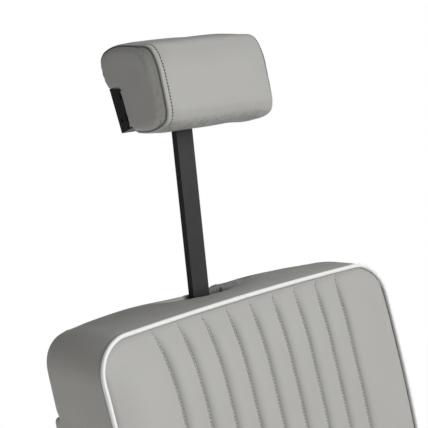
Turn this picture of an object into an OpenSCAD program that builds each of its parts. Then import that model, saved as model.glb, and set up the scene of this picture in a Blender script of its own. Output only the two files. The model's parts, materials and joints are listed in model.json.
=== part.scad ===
// Threading chair: hydraulic base, swivelling seat, reclining back and sliding, tilting headrest.
// The chair faces -Y, the floor is at Z = 0 and the origin is the middle of the base.

/* [Base] */
// Outside diameter of the round base
base_d = 600; // [500:5:700]
// Thickness of the steel base plate
base_plate_t = 12; // [8:1:20]
// Width of the rubber ring round the base plate
base_ring_w = 8; // [5:1:15]
// Height of the rubber ring
base_ring_h = 17; // [14:1:30]
// Sheet thickness of the chromed base cover
base_cover_t = 2; // [1:0.5:4]
// Height of the cover at its neck
base_cover_h = 46; // [42:1:70]

/* [Pump] */
// Diameter of the pump's bottom flange
pump_flange_d = 190; // [180:5:260]
// Thickness of the pump's bottom flange
pump_flange_t = 10; // [6:1:16]
// Circle of the flange bolts
pump_bolt_circle = 160; // [156:1:170]
// Shank diameter of the flange bolts
pump_bolt_d = 12; // [8:1:14]
// Outside diameter of the pump cylinder
pump_tube_d = 76; // [70:1:90]
// Bore of the pump cylinder
pump_bore_d = 60; // [54:1:66]
// Height of the pump cylinder's top above the floor
pump_top_z = 296; // [280:1:330]
// Diameter of the piston rod
piston_d = 50; // [40:1:52]
// Height of the guide collar that shows above the cylinder
pump_collar_h = 10; // [6:1:14]
// Depth of the guide collar inside the cylinder
pump_collar_depth = 40; // [20:1:60]
// Outside diameter of the chromed pump shroud
shroud_d = 130; // [124:1:136]
// Sheet thickness of the pump shroud
shroud_t = 2; // [1:0.5:4]
// Lift of the seat by the pump
lift_travel = 150; // [80:5:170]

/* [Pedal] */
// Width of the pedal lever
pedal_w = 16; // [10:1:24]
// Depth of the pedal lever
pedal_t = 12; // [8:1:16]
// Distance of the pedal pivot from the pump axis
pedal_pivot_r = 51; // [49:1:53]
// Height of the pedal pivot above the floor
pedal_pivot_z = 80; // [74:1:100]
// Reach of the pedal lever past its pivot
pedal_len = 285; // [260:5:330]
// Upward slope of the pedal lever at rest
pedal_rise = 8; // [4:1:12]
// Travel of the pedal in degrees
pedal_travel = 14; // [8:1:15]
// Width of the rubber pedal pad
pedal_pad_w = 90; // [50:1:120]

/* [Swivel] */
// Depth of the plate that carries the seat
swivel_plate_l = 182; // [140:1:220]
// Thickness of the swivel plate
swivel_plate_t = 8; // [5:1:12]
// Outside diameter of the swivel hub
swivel_hub_d = 80; // [64:1:110]
// Height of the swivel hub
swivel_hub_h = 39; // [30:1:50]
// Diameter of the spigot in the hub
spigot_d = 36; // [30:1:42]
// Height of the swivel bearing ring
bearing_h = 6; // [4:1:10]

/* [Seat] */
// Width of the seat and of the back, between the piping
seat_w = 540; // [500:5:580]
// Length of the seat cushion from front to rear
seat_l = 461; // [420:1:500]
// Thickness of the seat cushion at its edge
seat_t = 72; // [50:1:100]
// Rise of the seat cushion's middle above its edge
seat_crown = 18; // [6:1:30]
// Corner radius of the seat's piping
seat_corner_r = 50; // [30:1:80]
// Thickness of the plywood seat board
seat_board_t = 15; // [9:1:21]
// Width of a steel frame tube
rail_w = 25; // [20:1:30]
// Height of a steel frame tube
rail_h = 30; // [25:1:40]
// Wall of a steel frame tube
rail_wall = 2; // [1.5:0.5:4]
// Distance of the side rails in from the seat's edge
rail_inset = 75; // [70:1:90]
// Length of the side rails
rail_l = 480; // [440:1:500]

/* [Arms] */
// Width of the flat bar of an arm frame
arm_bar_w = 40; // [25:1:50]
// Thickness of the flat bar of an arm frame
arm_bar_t = 10; // [6:1:14]
// Clearance between the seat's piping line and an arm frame
arm_clear = 16; // [14:1:30]
// Length of an arm frame
arm_l = 272; // [220:1:300]
// Height of an arm frame
arm_h = 298; // [240:1:330]
// Outer corner radius of an arm frame
arm_corner_r = 50; // [30:1:70]
// Middle of the arm frame ahead of the pump axis
arm_mid_y = 18; // [0:1:40]
// Length of an arm pad
arm_pad_l = 300; // [240:1:340]
// Width of an arm pad
arm_pad_w = 66; // [50:1:80]
// Thickness of an arm pad
arm_pad_t = 36; // [24:1:50]

/* [Footrest] */
// Width of the footrest stem
footrest_stem_w = 50; // [30:1:70]
// Thickness of the footrest stem
footrest_stem_t = 10; // [8:1:14]
// Reach of the footrest bar ahead of the front rail
footrest_reach = 190; // [150:5:230]
// Height of the footrest bar above the floor
footrest_z = 160; // [150:5:220]
// Length of the footrest bar
footrest_bar_l = 340; // [260:5:400]
// Diameter of the footrest bar
footrest_bar_d = 30; // [20:1:36]
// Wall of a rubber footrest sleeve
footrest_sleeve_t = 4; // [3:1:8]
// Length of a rubber footrest sleeve
footrest_sleeve_l = 120; // [80:1:130]

/* [Back] */
// Length of the back along its front face
back_l = 580; // [520:5:620]
// Height of the back's top piping above the floor
back_top_z = 1000; // [990:1:1020]
// Distance of the back's top piping behind the recline pivot
back_top_out = 72; // [68:1:78]
// Lean of the back's front face at its top
back_lean = 23.25; // [22:0.25:24]
// Radius of the front face's curve from top to bottom
back_curve_r = 2100; // [1900:50:2400]
// Rise of the top edge's arch
back_arch = 5.3; // [0:0.1:10]
// Corner radius of the back's piping
back_corner_r = 50; // [40:1:70]
// Depth of the back's top face
back_top_depth = 103; // [100:1:106]
// Drop of the top face from front to rear
back_top_drop = 21.7; // [18:0.1:26]
// Lean of the back's rear plane
back_rear_lean = 14.2; // [13:0.1:15]
// Crown of the back's front pad
back_crown = 10; // [4:1:16]
// Crown of the back's rear face
back_rear_crown = 11.2; // [9:0.1:16]
// Extra depth of the band above the rear panel, at its top
back_band_top = 18.8; // [16:0.2:22]
// Extra depth of the band above the rear panel, at its foot
back_band_foot = 11.2; // [9:0.2:13]
// Spacing of the stitched channels
channel_pitch = 41.45; // [36:0.5:44]
// Number of stitched seams
channel_seams = 9; // [5:2:9]
// Depth of a stitched seam below the pad beside it
channel_depth = 4; // [2:0.5:6]
// Diameter of the piping
piping_d = 6; // [4:0.5:8]
// Thickness of the plywood back board
back_board_t = 12; // [9:1:15]
// Height of the band above the rear panel
back_band_h = 107; // [104:1:120]
// Thickness of the rear panel at its rim
back_panel_t = 14; // [11:0.5:16]
// Crown of the rear panel at mid height
back_panel_crown = 26; // [24:1:34]

/* [Recline] */
// Height of the recline pivot above the floor
recline_z = 415; // [412:1:418]
// Distance of the recline pivot behind the side rails
recline_out = 32; // [28:1:36]
// Distance of the seat cushion's rear edge ahead of the recline pivot
seat_clear = 96; // [94:1:120]
// Travel of the back in degrees
recline_travel = 55; // [40:1:58]
// Diameter of the recline pivot bolts
recline_bolt_d = 12; // [8:1:14]
// Width of a hinge arm at its pivot
hinge_arm_w = 40; // [30:1:44]
// Thickness of the hinge arms and brackets
hinge_t = 8; // [5:1:8]
// Diameter of the tube that joins the hinge arms
torque_tube_d = 25; // [20:1:30]
// Distance of the gas strut below the recline pivot
strut_drop = 65; // [60:1:72]
// Outside diameter of the gas strut
strut_d = 28; // [22:1:29]
// Length of the gas strut's cylinder
strut_l = 104; // [102:1:106]
// Diameter of the gas strut's rod
strut_rod_d = 10; // [8:1:14]

/* [Release lever] */
// Diameter of the release lever's rod
release_d = 10; // [8:1:12]
// Distance of the release lever's arm outside the arm frame
release_out = 19; // [16:1:40]
// Length of the release lever's arm
release_arm_l = 95; // [70:1:120]
// Diameter of the release lever's grip
release_grip_d = 22; // [16:1:26]

/* [Headrest bar] */
// Width of the flat headrest bar
bar_w = 30; // [25:1:32]
// Thickness of the flat headrest bar
bar_t = 10; // [8:0.5:10]
// Lean of the headrest bar
bar_lean = 8.35; // [7:0.05:9]
// Distance of the bar behind the top piping where it enters the back
bar_y = 95; // [92:1:97]
// Length of bar from the slot to the tilt pivot
bar_out = 257; // [220:1:280]
// Length of bar inside the back at rest
bar_in = 125; // [115:1:130]
// Downward travel of the headrest bar
bar_down = 150; // [100:5:150]
// Upward travel of the headrest bar
bar_up = 25; // [10:1:30]

/* [Headrest] */
// Width of the headrest pad
head_w = 204; // [180:1:220]
// Depth of the headrest pad
head_depth = 110; // [105:1:116]
// Height of the headrest pad
head_h = 127; // [122:1:132]
// Lean of the headrest
head_lean = 25; // [23:0.5:27]
// Height of the headrest pan
pan_h = 62; // [56:1:66]
// Depth of the headrest pan
pan_depth = 20.5; // [18:0.5:22]
// Sheet thickness of the headrest pan
pan_t = 2; // [1.5:0.5:3]
// Diameter of the tilt bolt
tilt_bolt_d = 6; // [5:1:7]

/* [Hidden] */
$fn = 64;

// Common clearances and the overrun of every cut
run = 0.05;
gap = 0.3;
hole_gap = 0.1;
over = 1;

// Colours
vinyl = [0.70, 0.70, 0.685];
welt = [0.96, 0.96, 0.95];
black = [0.10, 0.10, 0.10];
chrome = [0.80, 0.80, 0.82];
rubber = [0.07, 0.07, 0.07];
ply = [0.75, 0.60, 0.42];
steel = [0.55, 0.55, 0.57];
nylon = [0.20, 0.20, 0.21];

// Levels of the stack from the floor up
flange_z = base_plate_t;
flange_top_z = flange_z + pump_flange_t;
collar_top_z = pump_top_z + pump_collar_h;
rod_show = 6;
shoulder_z = collar_top_z + rod_show;
hub_z = shoulder_z + bearing_h;
plate_z = hub_z + swivel_hub_h;
rail_z = plate_z + swivel_plate_t;
board_z = rail_z + rail_h;
cushion_z = board_z + seat_board_t;
seat_edge_z = cushion_z + seat_t;

// Places shared by several pieces
recline_y = rail_l / 2 + recline_out;
back_top_y = recline_y + back_top_out;
seat_rear = recline_y - seat_clear;
seat_front = seat_l - seat_rear;
rail_outer_x = seat_w / 2 - rail_inset;
arm_inner_x = seat_w / 2 + arm_clear;
release_x = arm_inner_x + arm_bar_w + release_out;
swivel_plate_w = 2 * rail_outer_x;
base_r = base_d / 2;
plate_r = base_r - base_ring_w;
shroud_r = shroud_d / 2;
rail_x = rail_outer_x - rail_w;
strut_z = recline_z - strut_drop;
strut_angle = recline_travel / 2;
strut_pin_y = recline_y + strut_drop * tan(strut_angle);
strut_pin_d = 10;
strut_clear = 1.2;
ear_x = rail_outer_x - hinge_t - gap;
release_y = swivel_plate_l / 2 + hinge_t;
rear_rail_y = rail_l / 2 - 2 * rail_w;
front_rail_y = -rail_l / 2;

// Unit directions and the frames of the back, the bar and the headrest
module back_frame() {
    translate([0, back_top_y + back_top_depth, back_top_z - back_top_drop])
        rotate([-back_rear_lean, 0, 0]) children();
}
slot_z = back_top_z - back_top_drop * bar_y / back_top_depth;
module bar_frame() {
    translate([0, back_top_y + bar_y, slot_z]) rotate([-bar_lean, 0, 0]) children();
}
tilt_y = back_top_y + bar_y + bar_out * sin(bar_lean);
tilt_z = slot_z + bar_out * cos(bar_lean);
pin_in = pan_depth * 0.4127;
pin_up = pan_depth * 0.7902;
module head_frame() {
    translate([0, tilt_y, tilt_z]) rotate([-head_lean, 0, 0])
        translate([0, pin_in, -pin_up]) children();
}

// A box given by its low corner and its high corner
module span(low, high) {
    translate(low) cube(high - low);
}

// A cylinder along X between two places
module shaft_x(x0, x1, y, z, d) {
    translate([x0, y, z]) rotate([0, 90, 0]) cylinder(d = d, h = x1 - x0);
}

// A bolt along +Z with its head below the seat of the head
module bolt(d, shank, head_d, head_h, sides = 6) {
    translate([0, 0, -head_h]) cylinder(d = head_d, h = head_h, $fn = sides);
    cylinder(d = d, h = shank);
}

// A hollow rectangular tube with closed ends, given by its corners
module box_tube(low, high, wall) {
    difference() {
        span(low, high);
        span(low + [wall, wall, wall], high - [wall, wall, wall]);
    }
}

module mirror_x(side) {
    if (side > 0) children();
    else mirror([1, 0, 0]) children();
}

// Base

module base_plate() {
    color(steel) difference() {
        cylinder(r = plate_r, h = base_plate_t, $fn = 128);
        pump_bolt_places() translate([0, 0, 0.4 * base_plate_t])
            cylinder(d = pump_bolt_d + 2 * hole_gap, h = base_plate_t);
    }
}

module base_trim_ring() {
    color(rubber) rotate_extrude($fn = 128) polygon([
        [plate_r, 0], [base_r - base_ring_w / 4, 0], [base_r, base_ring_w / 4],
        [base_r, base_ring_h - base_ring_w / 4], [base_r - base_ring_w / 4, base_ring_h],
        [plate_r, base_ring_h]]);
}

// Height of the cover's top surface at a radius, as a smooth dome
cover_neck_r = shroud_r + gap;
cover_rim_r = plate_r - gap;
cover_rim_z = base_ring_h - base_cover_t;
function cover_height(r) = cover_rim_z
    + (base_cover_h - cover_rim_z) * sin(90 * pow((cover_rim_r - r) / (cover_rim_r - cover_neck_r), 0.8));
cover_steps = 14;
function cover_r(i) = cover_rim_r + (cover_neck_r - cover_rim_r) * i / cover_steps;

module base_cover() {
    color(chrome) rotate_extrude($fn = 128) polygon(concat(
        [[cover_rim_r, base_plate_t]],
        [for (i = [0:cover_steps]) [cover_r(i), cover_height(cover_r(i))]],
        [for (i = [cover_steps:-1:1]) [cover_r(i), cover_height(cover_r(i)) - base_cover_t]],
        [[cover_rim_r - base_cover_t, cover_height(cover_rim_r) - base_cover_t / 2],
         [cover_rim_r - base_cover_t, base_plate_t]]));
}

// Pump

pump_bolt_count = 4;
module pump_bolt_places() {
    for (i = [0:pump_bolt_count - 1]) rotate([0, 0, 45 + i * 360 / pump_bolt_count])
        translate([pump_bolt_circle / 2, 0, 0]) children();
}
pump_floor_t = pump_flange_t + 2 * base_cover_t;

module pump_cylinder() {
    color(steel) difference() {
        union() {
            translate([0, 0, flange_z]) cylinder(d = pump_flange_d, h = pump_flange_t);
            translate([0, 0, flange_z]) cylinder(d = pump_tube_d, h = pump_top_z - flange_z);
        }
        translate([0, 0, flange_z + pump_floor_t])
            cylinder(d = pump_bore_d, h = pump_top_z - flange_z);
        pump_bolt_places() translate([0, 0, flange_z - over])
            cylinder(d = pump_bolt_d + 2 * hole_gap, h = pump_flange_t + 2 * over);
    }
}

pump_bolt_head_d = 1.58 * pump_bolt_d;
pump_bolt_head_h = 0.6 * pump_bolt_d;
module pump_bolts() {
    color(steel) pump_bolt_places() translate([0, 0, flange_top_z]) rotate([180, 0, 0])
        bolt(pump_bolt_d, pump_flange_t + base_plate_t / 2, pump_bolt_head_d, pump_bolt_head_h);
}

module pump_collar() {
    color(nylon) difference() {
        union() {
            translate([0, 0, pump_top_z]) cylinder(d = pump_tube_d, h = pump_collar_h);
            translate([0, 0, pump_top_z - pump_collar_depth])
                cylinder(d = pump_bore_d - 2 * run, h = pump_collar_depth + over);
        }
        translate([0, 0, pump_top_z - pump_collar_depth - over])
            cylinder(d = piston_d + 2 * run, h = pump_collar_depth + pump_collar_h + 2 * over);
    }
}

shroud_top_z = collar_top_z - base_cover_t;
window_w = pedal_w + 4 * hole_gap * pedal_t / 2;
module pump_shroud() {
    color(chrome) difference() {
        union() {
            translate([0, 0, flange_top_z]) difference() {
                cylinder(d = shroud_d, h = shroud_top_z - flange_top_z);
                translate([0, 0, -over]) cylinder(d = shroud_d - 2 * shroud_t,
                    h = shroud_top_z - flange_top_z - shroud_t + over);
            }
        }
        translate([0, 0, flange_top_z]) cylinder(d = pump_tube_d + 2 * gap, h = shroud_top_z);
        span([-window_w / 2, 0, window_low_z], [window_w / 2, shroud_d, window_high_z]);
    }
}

// Pedal

lug_t = 6;
pedal_pin_d = 8;
pedal_boss_d = 20;
pedal_arm_w = 0.9 * pedal_w;
function pedal_mid_z(y, slope) = pedal_pivot_z + (y - pedal_pivot_r) * tan(slope);
window_high_z = pedal_mid_z(shroud_r, pedal_rise) + pedal_t / 2 / cos(pedal_rise) + gap;
window_low_z = pedal_mid_z(shroud_r, pedal_rise - pedal_travel)
    - pedal_t / 2 / cos(pedal_travel - pedal_rise) - lug_t / 2;

module pedal_bracket() {
    color(steel) for (side = [-1, 1]) difference() {
        mirror_x(side) union() {
            span([pedal_w / 2 + gap, pump_tube_d / 2 - lug_t / 2, pedal_pivot_z - pedal_boss_d / 2],
                [pedal_w / 2 + gap + lug_t, pedal_pivot_r, pedal_pivot_z + pedal_boss_d / 2]);
            shaft_x(pedal_w / 2 + gap, pedal_w / 2 + gap + lug_t, pedal_pivot_r, pedal_pivot_z,
                pedal_boss_d);
        }
        cylinder(d = pump_tube_d, h = pump_top_z);
        shaft_x(-pedal_w - lug_t, pedal_w + lug_t, pedal_pivot_r, pedal_pivot_z,
            pedal_pin_d + 2 * hole_gap);
    }
}

module pedal_pin() {
    color(steel) {
        shaft_x(-pedal_w / 2 - gap - lug_t, pedal_w / 2 + gap + lug_t, pedal_pivot_r, pedal_pivot_z,
            pedal_pin_d);
        for (x = [-pedal_w / 2 - gap - lug_t - pedal_pin_d / 4, pedal_w / 2 + gap + lug_t])
            shaft_x(x, x + pedal_pin_d / 4, pedal_pivot_r, pedal_pivot_z, 1.4 * pedal_pin_d);
    }
}

pedal_pad_l = 54;
pedal_pad_t = 20;
pedal_in = 0.8 * pedal_pad_l;
module pedal_lever() {
    color(steel) difference() {
        union() {
            shaft_x(-pedal_w / 2, pedal_w / 2, pedal_pivot_r, pedal_pivot_z, pedal_boss_d);
            translate([0, pedal_pivot_r, pedal_pivot_z]) rotate([pedal_rise, 0, 0])
                span([-pedal_arm_w / 2, 0.3 * pedal_boss_d, -pedal_t / 2],
                    [pedal_arm_w / 2, pedal_len, pedal_t / 2]);
        }
        shaft_x(-pedal_w, pedal_w, pedal_pivot_r, pedal_pivot_z, pedal_pin_d + 2 * run);
    }
}

module pedal_pad() {
    color(rubber) translate([0, pedal_pivot_r, pedal_pivot_z]) rotate([pedal_rise, 0, 0])
        translate([0, pedal_len - pedal_in, 0]) difference() {
            union() {
                span([-pedal_pad_w / 2 + pedal_pad_l / 2, 0, -pedal_pad_t / 2],
                    [pedal_pad_w / 2 - pedal_pad_l / 2, pedal_pad_l, pedal_pad_t / 2]);
                for (side = [-1, 1]) translate([side * (pedal_pad_w - pedal_pad_l) / 2,
                    pedal_pad_l / 2, -pedal_pad_t / 2]) cylinder(d = pedal_pad_l, h = pedal_pad_t);
            }
            span([-pedal_arm_w / 2, -over, -pedal_t / 2], [pedal_arm_w / 2, pedal_in, pedal_t / 2]);
        }
}

// Piston rod and swivel

rod_bottom_z = flange_z + pump_floor_t + lug_t;
spigot_h = swivel_hub_h - lug_t + bearing_h;
piston_head_h = 20;
module piston_rod() {
    color(chrome) {
        translate([0, 0, rod_bottom_z]) cylinder(d = piston_d, h = shoulder_z - rod_bottom_z);
        translate([0, 0, rod_bottom_z]) cylinder(d = pump_bore_d - 2 * hole_gap, h = piston_head_h);
        translate([0, 0, shoulder_z]) cylinder(d = spigot_d, h = spigot_h);
    }
}

module swivel_bearing() {
    color(steel) translate([0, 0, shoulder_z]) difference() {
        cylinder(d = swivel_hub_d - 2 * bearing_h, h = bearing_h);
        translate([0, 0, -over]) cylinder(d = spigot_d + 2 * hole_gap, h = bearing_h + 2 * over);
    }
}

swivel_bolt_d = 8;
swivel_bolt_x = rail_x + rail_w / 2;
swivel_bolt_y = swivel_plate_l / 2 - 2.5 * swivel_bolt_d;
swivel_bolt_in = 0.6 * rail_h;
module swivel_bolt_places() {
    for (x = [-1, 1]) for (y = [-1, 1])
        translate([x * swivel_bolt_x, y * swivel_bolt_y, plate_z]) children();
}

hanger_x = swivel_hub_d / 2 + lug_t / 2;
hanger_w = 3 * release_d;
hanger_front = hinge_t - gap;
module release_hanger(x, back_w) {
    span([x, release_y - back_w, strut_z - hanger_w / 2],
        [x + lug_t, release_y + hanger_w / 2, rail_z]);
}
module release_bore() {
    shaft_x(-over, release_x, release_y, strut_z, release_d + 2 * run);
}

module swivel_plate() {
    color(black) difference() {
        union() {
            translate([0, 0, hub_z]) cylinder(d = swivel_hub_d, h = swivel_hub_h);
            span([-swivel_plate_w / 2, -swivel_plate_l / 2, plate_z],
                [swivel_plate_w / 2, swivel_plate_l / 2, rail_z]);
            release_hanger(hanger_x, hanger_w);
        }
        translate([0, 0, hub_z - over]) cylinder(d = spigot_d + 2 * run, h = swivel_hub_h + over);
        swivel_bolt_places() translate([0, 0, -over])
            cylinder(d = swivel_bolt_d + 2 * hole_gap, h = swivel_plate_t + 2 * over);
        release_bore();
    }
}

module swivel_bolts() {
    color(steel) swivel_bolt_places()
        bolt(swivel_bolt_d, swivel_bolt_in, 1.6 * swivel_bolt_d, 0.6 * swivel_bolt_d);
}

// Seat frame

seat_screw_d = 6;
seat_screw_y_share = 0.36;
module seat_screw_places(side) {
    for (y = [-1, 1]) translate([side * (rail_x + rail_w / 2), y * seat_screw_y_share * rail_l, 0])
        children();
}

module side_rail(side) {
    difference() {
        union() {
            mirror_x(side) box_tube([rail_x, -rail_l / 2, rail_z], [rail_outer_x, rail_l / 2, board_z],
                rail_wall);
            if (side > 0) release_hanger(rail_x + rail_w / 2, hanger_front);
        }
        swivel_bolt_places() cylinder(d = swivel_bolt_d + 2 * hole_gap, h = rail_h);
        seat_screw_places(side) translate([0, 0, rail_z - over])
            cylinder(d = seat_screw_d + 2 * hole_gap, h = rail_h + 2 * over);
        release_bore();
    }
}
module side_rail_left() { color(black) side_rail(-1); }
module side_rail_right() { color(black) side_rail(1); }

module front_cross_rail() {
    color(black) difference() {
        box_tube([-rail_x, front_rail_y, rail_z], [rail_x, front_rail_y + rail_w, board_z], rail_wall);
        footrest_bolt_places() cylinder(d = footrest_bolt_d + 2 * hole_gap, h = rail_w / 2);
    }
}

module rear_cross_rail() {
    color(black) box_tube([-rail_x, rear_rail_y, rail_z], [rail_x, rear_rail_y + rail_w, board_z],
        rail_wall);
}

board_edge = 22;
board_rear_edge = 6;
module seat_board() {
    color(ply) difference() {
        span([-seat_w / 2 + board_edge, -seat_front + board_edge, board_z],
            [seat_w / 2 - board_edge, seat_rear - board_rear_edge, cushion_z]);
        for (side = [-1, 1]) seat_screw_places(side) translate([0, 0, board_z - over])
            cylinder(d = seat_screw_d + 2 * hole_gap, h = seat_board_t * 0.8 + over);
    }
}

module seat_screws() {
    color(steel) for (side = [-1, 1]) seat_screw_places(side) translate([0, 0, rail_z])
        bolt(seat_screw_d, rail_h + 0.7 * seat_board_t, 2 * seat_screw_d, 0.5 * seat_screw_d, 32);
}

// Padded form with a stitched front, drawn-in sides and rounded edges
// u runs across, v runs along from the top or front edge and d runs from the front face to the rear

// Drop of a rounded corner at a distance e past the corner's start
function corner_drop(e, r) = e <= 0 ? 0 : r - sqrt(max(0, r * r - e * e));
function edge_top(u, hw, r, arch) = arch * pow(u / hw, 2) + corner_drop(abs(u) - (hw - r), r);
function edge_low(u, hw, r, len) = len - corner_drop(abs(u) - (hw - r), r);

seams_half = (channel_seams - 1) / 2;
channel_shares = [0, 0.25, 0.75];
// Columns on the positive side: channels, border and rounded corner
function half_columns(hw, r) = let (edge = seams_half * channel_pitch) concat(
    [for (i = [0:seams_half - 1]) for (s = channel_shares) (i + s) * channel_pitch],
    [edge, edge + (hw - r - edge) / 2, hw - r],
    [for (a = [25, 50, 72]) hw - r + r * sin(a)], [hw]);
function columns(hw, r) = let (h = half_columns(hw, r), n = len(h))
    concat([for (i = [n - 1:-1:1]) -h[i]], h);
row_shares = [0, 0.015, 0.05, 0.13, 0.27, 0.42, 0.58, 0.73, 0.87, 0.95, 0.985, 1];

// Height of the stitched face above its edge
function channel_fade(v, len) = min(1, max(0, (min(v, len - v) - len * 0.02) / (len * 0.06)));
function channel_height(u) = abs(u) > seams_half * channel_pitch - 0.01 * channel_pitch
    ? (abs(u) > (seams_half + 0.01) * channel_pitch ? 1 : 0)
    : pow(abs(sin(180 * u / channel_pitch)), 0.5);
function edge_rise(e, r) = sqrt(max(0, 1 - pow(1 - min(1, max(0, e) / r), 2)));
function face_height(u, v, hw, len, crown, edge_r) =
    crown * edge_rise(min(hw - abs(u), v, len - v), edge_r) * (1 - 0.4 * pow(u / hw, 4))
    - channel_depth * (1 - channel_height(u)) * channel_fade(v, len);

// Outward direction of the outline at a point
function core_point(u, v, hw, r, len) =
    [max(-(hw - r), min(hw - r, u)), max(r, min(len - r, v))];
function outward(u, v, hw, r, len) = let (c = core_point(u, v, hw, r, len), d = [u, v] - c)
    norm(d) == 0 ? [0, 0] : d / norm(d);

// place(u, v, d) gives the point in the chair
// wall holds a share of the depth, the outward offset above the band's edge and the one below it
function below_band(v, band) = min(1, max(0, (v - 0.8 * band) / (0.25 * band)));
module stitched_form(hw, len, r, arch, crown, depth, wall, band, inner, place, swell) {
    us = columns(hw, r);
    n = len(us);
    m = len(row_shares);
    edge_r = r * 0.8;
    vt = [for (u = us) edge_top(u, hw, r, arch)];
    vb = [for (u = us) edge_low(u, hw, r, len)];
    grid = [for (i = [0:n - 1]) for (j = [0:m - 1])
        let (v = vt[i] + row_shares[j] * (vb[i] - vt[i]))
        [us[i], v, (j == 0 || j == m - 1 || i == 0 || i == n - 1) ? 0
            : face_height(us[i], v, hw, len, crown, edge_r)]];
    border = concat([for (i = [0:n - 1]) i * m], [for (j = [1:m - 1]) (n - 1) * m + j],
        [for (i = [n - 2:-1:0]) i * m + m - 1], [for (j = [m - 2:-1:1]) j]);
    b = len(border);
    front = [for (g = grid) place(g[0], g[1], -g[2] / depth)];
    rings = [for (w = wall) for (k = border)
        let (g = grid[k], o = outward(g[0], g[1], hw, r, len),
            e = w[1] + (w[2] - w[1]) * below_band(g[1], band) + swell(g[0], g[1], w[0]))
        place(g[0] + e * o[0], g[1] + e * o[1], w[0])];
    last = len(wall) * b;
    inside = [for (k = border) let (g = grid[k])
        place(g[0] * inner, len / 2 + (g[1] - len / 2) * inner, 1)];
    base = n * m;
    points = concat(front, rings, inside, [place(0, len / 2, 1)]);
    steps = len(wall);
    faces = concat(
        [for (i = [0:n - 2]) for (j = [0:m - 2]) for (t = [0, 1])
            let (p = i * m + j, q = p + m)
            t == 0 ? [p, q, q + 1] : [p, q + 1, p + 1]],
        [for (k = [0:b - 1]) for (t = [0, 1]) let (k2 = (k + 1) % b)
            t == 0 ? [border[k], base + k, base + k2] : [border[k], base + k2, border[k2]]],
        [for (s = [0:steps - 1]) for (k = [0:b - 1]) for (t = [0, 1])
            let (k2 = (k + 1) % b, p = base + s * b, q = p + b)
            t == 0 ? [p + k, q + k, q + k2] : [p + k, q + k2, p + k2]],
        [for (k = [0:b - 1]) let (k2 = (k + 1) % b)
            [base + steps * b + k, len(points) - 1, base + steps * b + k2]]);
    polyhedron(points = points, faces = faces, convexity = 6);
}

// Closed round tube along a closed row of points, with one side direction
module welt_tube(path, d, sides, side_dir) {
    n = len(path);
    rings = [for (i = [0:n - 1])
        let (t = path[(i + 1) % n] - path[(i + n - 1) % n], a = cross(t, side_dir),
            ax = a / norm(a), c = cross(ax, t), bx = c / norm(c))
        for (k = [0:sides - 1]) path[i] + d / 2 * (ax * cos(360 * k / sides) + bx * sin(360 * k / sides))];
    faces = [for (i = [0:n - 1]) for (k = [0:sides - 1]) for (t = [0, 1])
        let (i2 = (i + 1) % n, k2 = (k + 1) % sides,
            p = i * sides + k, q = i2 * sides + k, p2 = i * sides + k2, q2 = i2 * sides + k2)
        t == 0 ? [p, q2, q] : [p, p2, q2]];
    polyhedron(points = rings, faces = faces, convexity = 6);
}

// Outline of the piping as u, v pairs
welt_top_steps = 10;
welt_corner_steps = 7;
welt_side_steps = 8;
function welt_outline(hw, r, arch, len) = concat(
    [for (i = [0:welt_top_steps]) let (u = (hw - r) * (2 * i / welt_top_steps - 1))
        [u, edge_top(u, hw, r, arch)]],
    [for (i = [1:welt_corner_steps]) let (u = hw - r + r * sin(90 * i / welt_corner_steps))
        [u, edge_top(u, hw, r, arch)]],
    [for (i = [1:welt_side_steps - 1])
        [hw, r + arch + (len - 2 * r - arch) * i / welt_side_steps]],
    [for (i = [welt_corner_steps:-1:0]) let (u = hw - r + r * sin(90 * i / welt_corner_steps))
        [u, edge_low(u, hw, r, len)]],
    [for (i = [welt_top_steps - 1:-1:1]) let (u = (hw - r) * (2 * i / welt_top_steps - 1))
        [u, edge_low(u, hw, r, len)]],
    [for (i = [0:welt_corner_steps]) let (u = hw - r + r * sin(90 * i / welt_corner_steps))
        [-u, edge_low(u, hw, r, len)]],
    [for (i = [welt_side_steps - 1:-1:1])
        [-hw, r + arch + (len - 2 * r - arch) * i / welt_side_steps]],
    [for (i = [welt_corner_steps:-1:1]) let (u = hw - r + r * sin(90 * i / welt_corner_steps))
        [-u, edge_top(u, hw, r, arch)]]);

// Seat cushion

seat_place = function (u, v, d) [u, v - seat_front, seat_edge_z - d * seat_t];
seat_edge_share = 0.16;
seat_wall = [for (w = [[0.05, 0.33], [0.28, 0.8], [0.6, 0.6], [1 - seat_edge_share, 0.16],
    [1 - seat_edge_share * 0.3, -0.5], [1, -1.6]]) [w[0], w[1] * piping_d, w[1] * piping_d]];

module seat_cushion() {
    color(vinyl) stitched_form(seat_w / 2, seat_l, seat_corner_r, 0, seat_crown, seat_t, seat_wall,
        seat_l, 0.5, seat_place, seat_swell);
}

module seat_piping() {
    color(welt) welt_tube([for (p = welt_outline(seat_w / 2, seat_corner_r, 0, seat_l))
        seat_place(p[0], p[1], 0)], piping_d, 8, [0, 0, 1]);
}

// Arms

arm_mid_x = arm_inner_x + arm_bar_w / 2;
arm_low_y = -arm_mid_y - arm_l / 2;
arm_high_y = -arm_mid_y + arm_l / 2;
arm_top_z = rail_z + arm_h;
outrigger_w = rail_w;
outrigger_in_share = 0.15;

// A closed loop of flat bar in the YZ plane, with round corners
module flat_loop(y0, y1, z0, z1, r, t, w) {
    for (c = [[y0, z0, 1, 1], [y1, z0, -1, 1], [y0, z1, 1, -1], [y1, z1, -1, -1]])
        translate([0, c[0] + c[2] * r, c[1] + c[3] * r]) rotate([0, 90, 0]) intersection() {
            difference() {
                cylinder(r = r, h = w);
                translate([0, 0, -over]) cylinder(r = r - t, h = w + 2 * over);
            }
            translate([c[3] > 0 ? 0 : -r, c[2] > 0 ? -r : 0, 0]) cube([r, r, w]);
        }
    span([0, y0, z0 + r], [w, y0 + t, z1 - r]);
    span([0, y1 - t, z0 + r], [w, y1, z1 - r]);
    span([0, y0 + r, z0], [w, y1 - r, z0 + t]);
    span([0, y0 + r, z1 - t], [w, y1 - r, z1]);
}

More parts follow.
